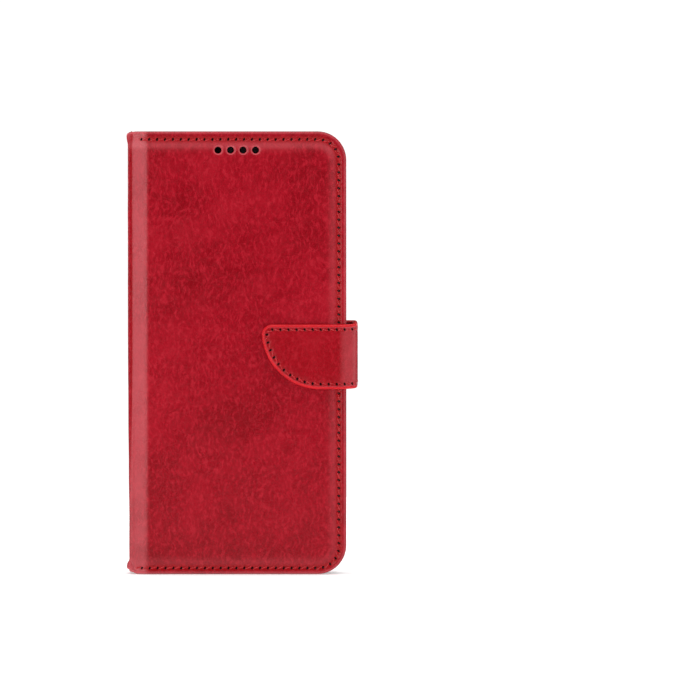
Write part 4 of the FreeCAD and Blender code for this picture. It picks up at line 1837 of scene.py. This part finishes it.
    def painted_edge(self, name: str, lines: Sequence[Sequence[Flat]]) -> bpy.types.Object:
        """The rounded painted edge along a strap half.

        Args:
            name: the piece's name.
            lines: its runs, each an open line with the strap on its left or right.

        Returns:
            The piece.
        """
        verts: list[Vector] = []
        faces: list[tuple[int, ...]] = []
        half = self.thick / 2
        for line in lines:
            loops = []
            for k, (s, z) in enumerate(line):
                a, b = line[max(0, k - 1)], line[min(len(line) - 1, k + 1)]
                length = math.dist(a, b) or 1e-9
                inward = (-(b[1] - a[1]) / length, (b[0] - a[0]) / length)
                loop = []
                for n in range(12):
                    turn = math.tau * n / 12
                    inset = (self.edge_inset + 0.15) * (1 - max(-0.3, math.cos(turn)))
                    height = -half + half * 0.985 * math.sin(turn)
                    loop.append(self.place(s + inward[0] * inset, z + inward[1] * inset, height))
                loops.append(loop)
            more, more_faces = closed_tube(loops)
            faces += [tuple(index + len(verts) for index in face) for face in more_faces]
            verts += more
        piece = new_object(name, verts, faces, self.finishes.edge_paint)
        shell = bmesh.new()
        shell.from_mesh(piece.data)
        bmesh.ops.recalc_face_normals(shell, faces=shell.faces)
        shell.to_mesh(piece.data)
        shell.free()
        piece.data.set_sharp_from_angle(angle=math.radians(70))
        store_rest(piece)
        return piece

    def declare(self, piece: bpy.types.Object, slot: Slot, half: Half) -> None:
        """Bake a piece's place into its mesh; the ends of its bend with its half of the strap are worked out and
        left unused.

        Args:
            piece: the piece.
            slot: the record's material slot; not used.
            half: the half that it belongs to.
        """
        tab = half is Half.TAB
        x, depth = joint_place("tab_fold" if tab else "strap_fold")
        reach = (self.tab_blend if tab else self.root_blend) / math.sqrt(2)
        way = Vector((-1, -1, 0)) if tab else Vector((1, -1, 0))
        centre = Vector((SPINE_X + x, BACK_Y - depth, (self.low + self.high) / 2))
        (centre - way * reach) * MM
        (centre + way * reach) * MM
        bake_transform(piece)

    def build(self) -> list[bpy.types.Object]:
        """Make both halves of the strap with their stitches.

        Returns:
            The pieces.
        """
        steps = walk(self.tab_outline(self.stitch_inset), STITCH_PITCH)
        above = [(self.mid_s * k / 40, self.high) for k in range(41)]
        below = [(self.mid_s * (1 - k / 40), self.low) for k in range(41)]
        root_outline = [(s, z + self.edge_inset) for s, z in below] + [(s, z - self.edge_inset) for s, z in above]
        made = []
        for half, outline, edges, punches, outer_nodes, inner_node, core in (
            (Half.ROOT, root_outline, [above, below], [],
             ("strap_side_leather", "strap_root"), "strap_side_lining", "strap_side_core"),
            (Half.TAB, self.tab_outline(self.edge_inset), [self.tab_outline(0.0)],
             [Punch(s, z, angle) for s, z, angle in steps],
             ("strap_tab_leather",), "strap_tab_lining", "strap_tab_core"),
        ):
            name = f"strap_{half.value}"
            outer = self.layer(f"{name}_leather", outline, 0.0, self.finishes.outer, True, punches)
            inner = self.layer(f"{name}_lining", outline, -self.thick, self.finishes.lining, False, [])
            edge = self.painted_edge(f"{name}_painted_edge", [list(reversed(line)) for line in edges])
            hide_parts(*outer_nodes)
            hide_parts(inner_node)
            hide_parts(core)
            for piece, slot in ((outer, Slot.OUTER), (inner, Slot.LINING), (edge, Slot.OUTER)):
                self.declare(piece, slot, half)
                made.append(piece)

        row = StitchRow(self.finishes.thread)
        ends = (self.stitches_from, self.mid_s - 0.4)
        for name, line, nodes, half in (
            ("strap_tab_stitches", [(s, z) for s, z, _ in steps], ("strap_tab_thread",), Half.TAB),
            ("strap_side_stitches_1", [(s, self.high - self.stitch_inset) for s in ends], ("strap_side_thread",),
             Half.ROOT),
            ("strap_side_stitches_2", [(s, self.low + self.stitch_inset) for s in ends], (), Half.ROOT),
        ):
            strand = row.lay(name, line, self.place, Side.LEFT, self.seat)
            if nodes:
                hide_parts(*nodes)
            self.declare(strand, Slot.THREAD, half)
            made.append(strand)
        return made


# ---------------------------------------------------------------- studio


@dataclass
class Studio:
    """Floor, light and camera."""

    distance: float = 1800.0
    view_width: float = 268.6
    right_of_cover: float = 43.4  # how far the camera stands to the right of the cover's middle
    aim_height: float = 86.15
    lift: float = 1.6  # degrees

    def floor(self) -> None:
        """A large pale floor just under the case."""
        rings, spokes, radius = 10, 64, 0.5
        verts = [Vector((0.0, 0.0, -0.0002))]
        for ring in range(1, rings + 1):
            for spoke in range(spokes):
                a = math.tau * spoke / spokes
                verts.append(Vector((math.cos(a), math.sin(a), 0.0)) * (radius * ring / rings) + verts[0])
        faces: list[tuple[int, ...]] = [(0, 1 + k, 1 + (k + 1) % spokes) for k in range(spokes)]
        for ring in range(rings - 1):
            for k in range(spokes):
                a, b = 1 + ring * spokes + k, 1 + ring * spokes + (k + 1) % spokes
                faces.append((a, a + spokes, b + spokes, b))
        graph = ShaderGraph("pale_floor")
        tone = graph.noise(graph.object_place(), 60.0, 3.0)
        material = graph.surface(
            Base_Color=graph.blend(tone, (0.90, 0.90, 0.90), (0.93, 0.93, 0.93)), Roughness=0.9,
            Emission_Color=(1.0, 1.0, 1.0, 1.0), Emission_Strength=0.3, Specular_IOR_Level=0.1,
        )
        new_object("floor", verts, faces, material)

    def world(self) -> None:
        """A white surround that the camera sees, and a dimmer one that lights the case."""
        world = bpy.data.worlds.new("studio")
        bpy.context.scene.world = world
        world.use_nodes = True
        graph = NodeGraph(world.node_tree)
        seen = graph.add("ShaderNodeBackground", {}, {"Color": (1.0, 1.0, 1.0, 1.0), "Strength": 1.1})
        lit = graph.add("ShaderNodeBackground", {}, {"Color": (1.0, 0.99, 0.98, 1.0), "Strength": 0.07})
        camera_ray = graph.add("ShaderNodeLightPath", {}, {}, "Is Camera Ray")
        surround = graph.add("ShaderNodeMixShader", {}, {0: camera_ray, 1: lit, 2: seen})
        graph.node("ShaderNodeOutputWorld", {}, {"Surface": surround})

    def lamp(self, name: str, place: tuple[float, float, float], size: tuple[float, float], power: float) -> None:
        """A soft rectangular lamp that looks at the case.

        Args:
            name: its name.
            place: where it stands, in metres.
            size: its width and height, in metres.
            power: in watts.
        """
        light = bpy.data.lights.new(name, "AREA")
        light.shape, light.size, light.size_y, light.energy = "RECTANGLE", size[0], size[1], power
        lamp = bpy.data.objects.new(name, light)
        lamp.location = place
        lamp.rotation_euler = (Vector((0.0, 0.0, 0.085)) - lamp.location).to_track_quat("-Z", "Y").to_euler()
        bpy.context.scene.collection.objects.link(lamp)

    def lamps(self) -> None:
        """Tall soft lamps at both sides, one above and weak ones behind."""
        for name, place, size, power in (
            ("left_strip", (-0.58, -1.37, 0.22), (0.20, 1.3), 9.5),
            ("right_strip", (0.42, -1.42, 0.20), (0.12, 1.1), 1.6),
            ("left_lamp", (-1.10, -0.35, 0.30), (0.45, 1.0), 4.0),
            ("right_lamp", (1.10, -0.45, 0.25), (0.45, 1.0), 5.0),
            ("top_lamp", (0.0, -0.10, 1.25), (1.5, 1.3), 17.0),
            ("back_left_lamp", (-0.8, 1.0, 0.5), (0.7, 0.9), 6.0),
            ("back_right_lamp", (0.8, 1.0, 0.5), (0.7, 0.9), 6.0),
        ):
            self.lamp(name, place, size, power)

    def camera(self) -> None:
        """A long lens square to the front cover, standing to its right."""
        data = bpy.data.cameras.new("camera")
        data.sensor_width = 36.0
        data.lens = self.distance * data.sensor_width / self.view_width
        data.clip_start, data.clip_end = 0.05, 50.0
        camera = bpy.data.objects.new("camera", data)
        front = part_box("front_outer_leather")[0][1]
        aim = Vector(((SPINE_X + FREE_EDGE / 2 + self.right_of_cover) * MM, front, self.aim_height * MM))
        lift = math.radians(self.lift)
        camera.location = aim + Vector((0.0, -math.cos(lift), math.sin(lift))) * self.distance * MM
        camera.rotation_euler = (math.radians(90) - lift, 0.0, 0.0)
        bpy.context.scene.collection.objects.link(camera)
        bpy.context.scene.camera = camera

    def build(self) -> None:
        """Set up the whole studio."""
        self.camera()
        self.floor()
        self.world()
        self.lamps()
        view = bpy.context.scene.view_settings
        view.view_transform, view.look = "Standard", "None"


def main() -> None:
    """Build the case in order and report each piece."""
    logging.basicConfig(level=logging.INFO, format="%(message)s")
    Studio().build()
    finishes = Finishes()
    finishes.dress_cad()
    covers = Covers(finishes)
    for build in (covers.front_leather, covers.back_leather, covers.linings, covers.card_panel, covers.pockets,
                  Strap(finishes).build):
        for piece in build():
            LOG.info("built %s: %d points", piece.name, len(piece.data.vertices))


if __name__ == "__main__":
    main()
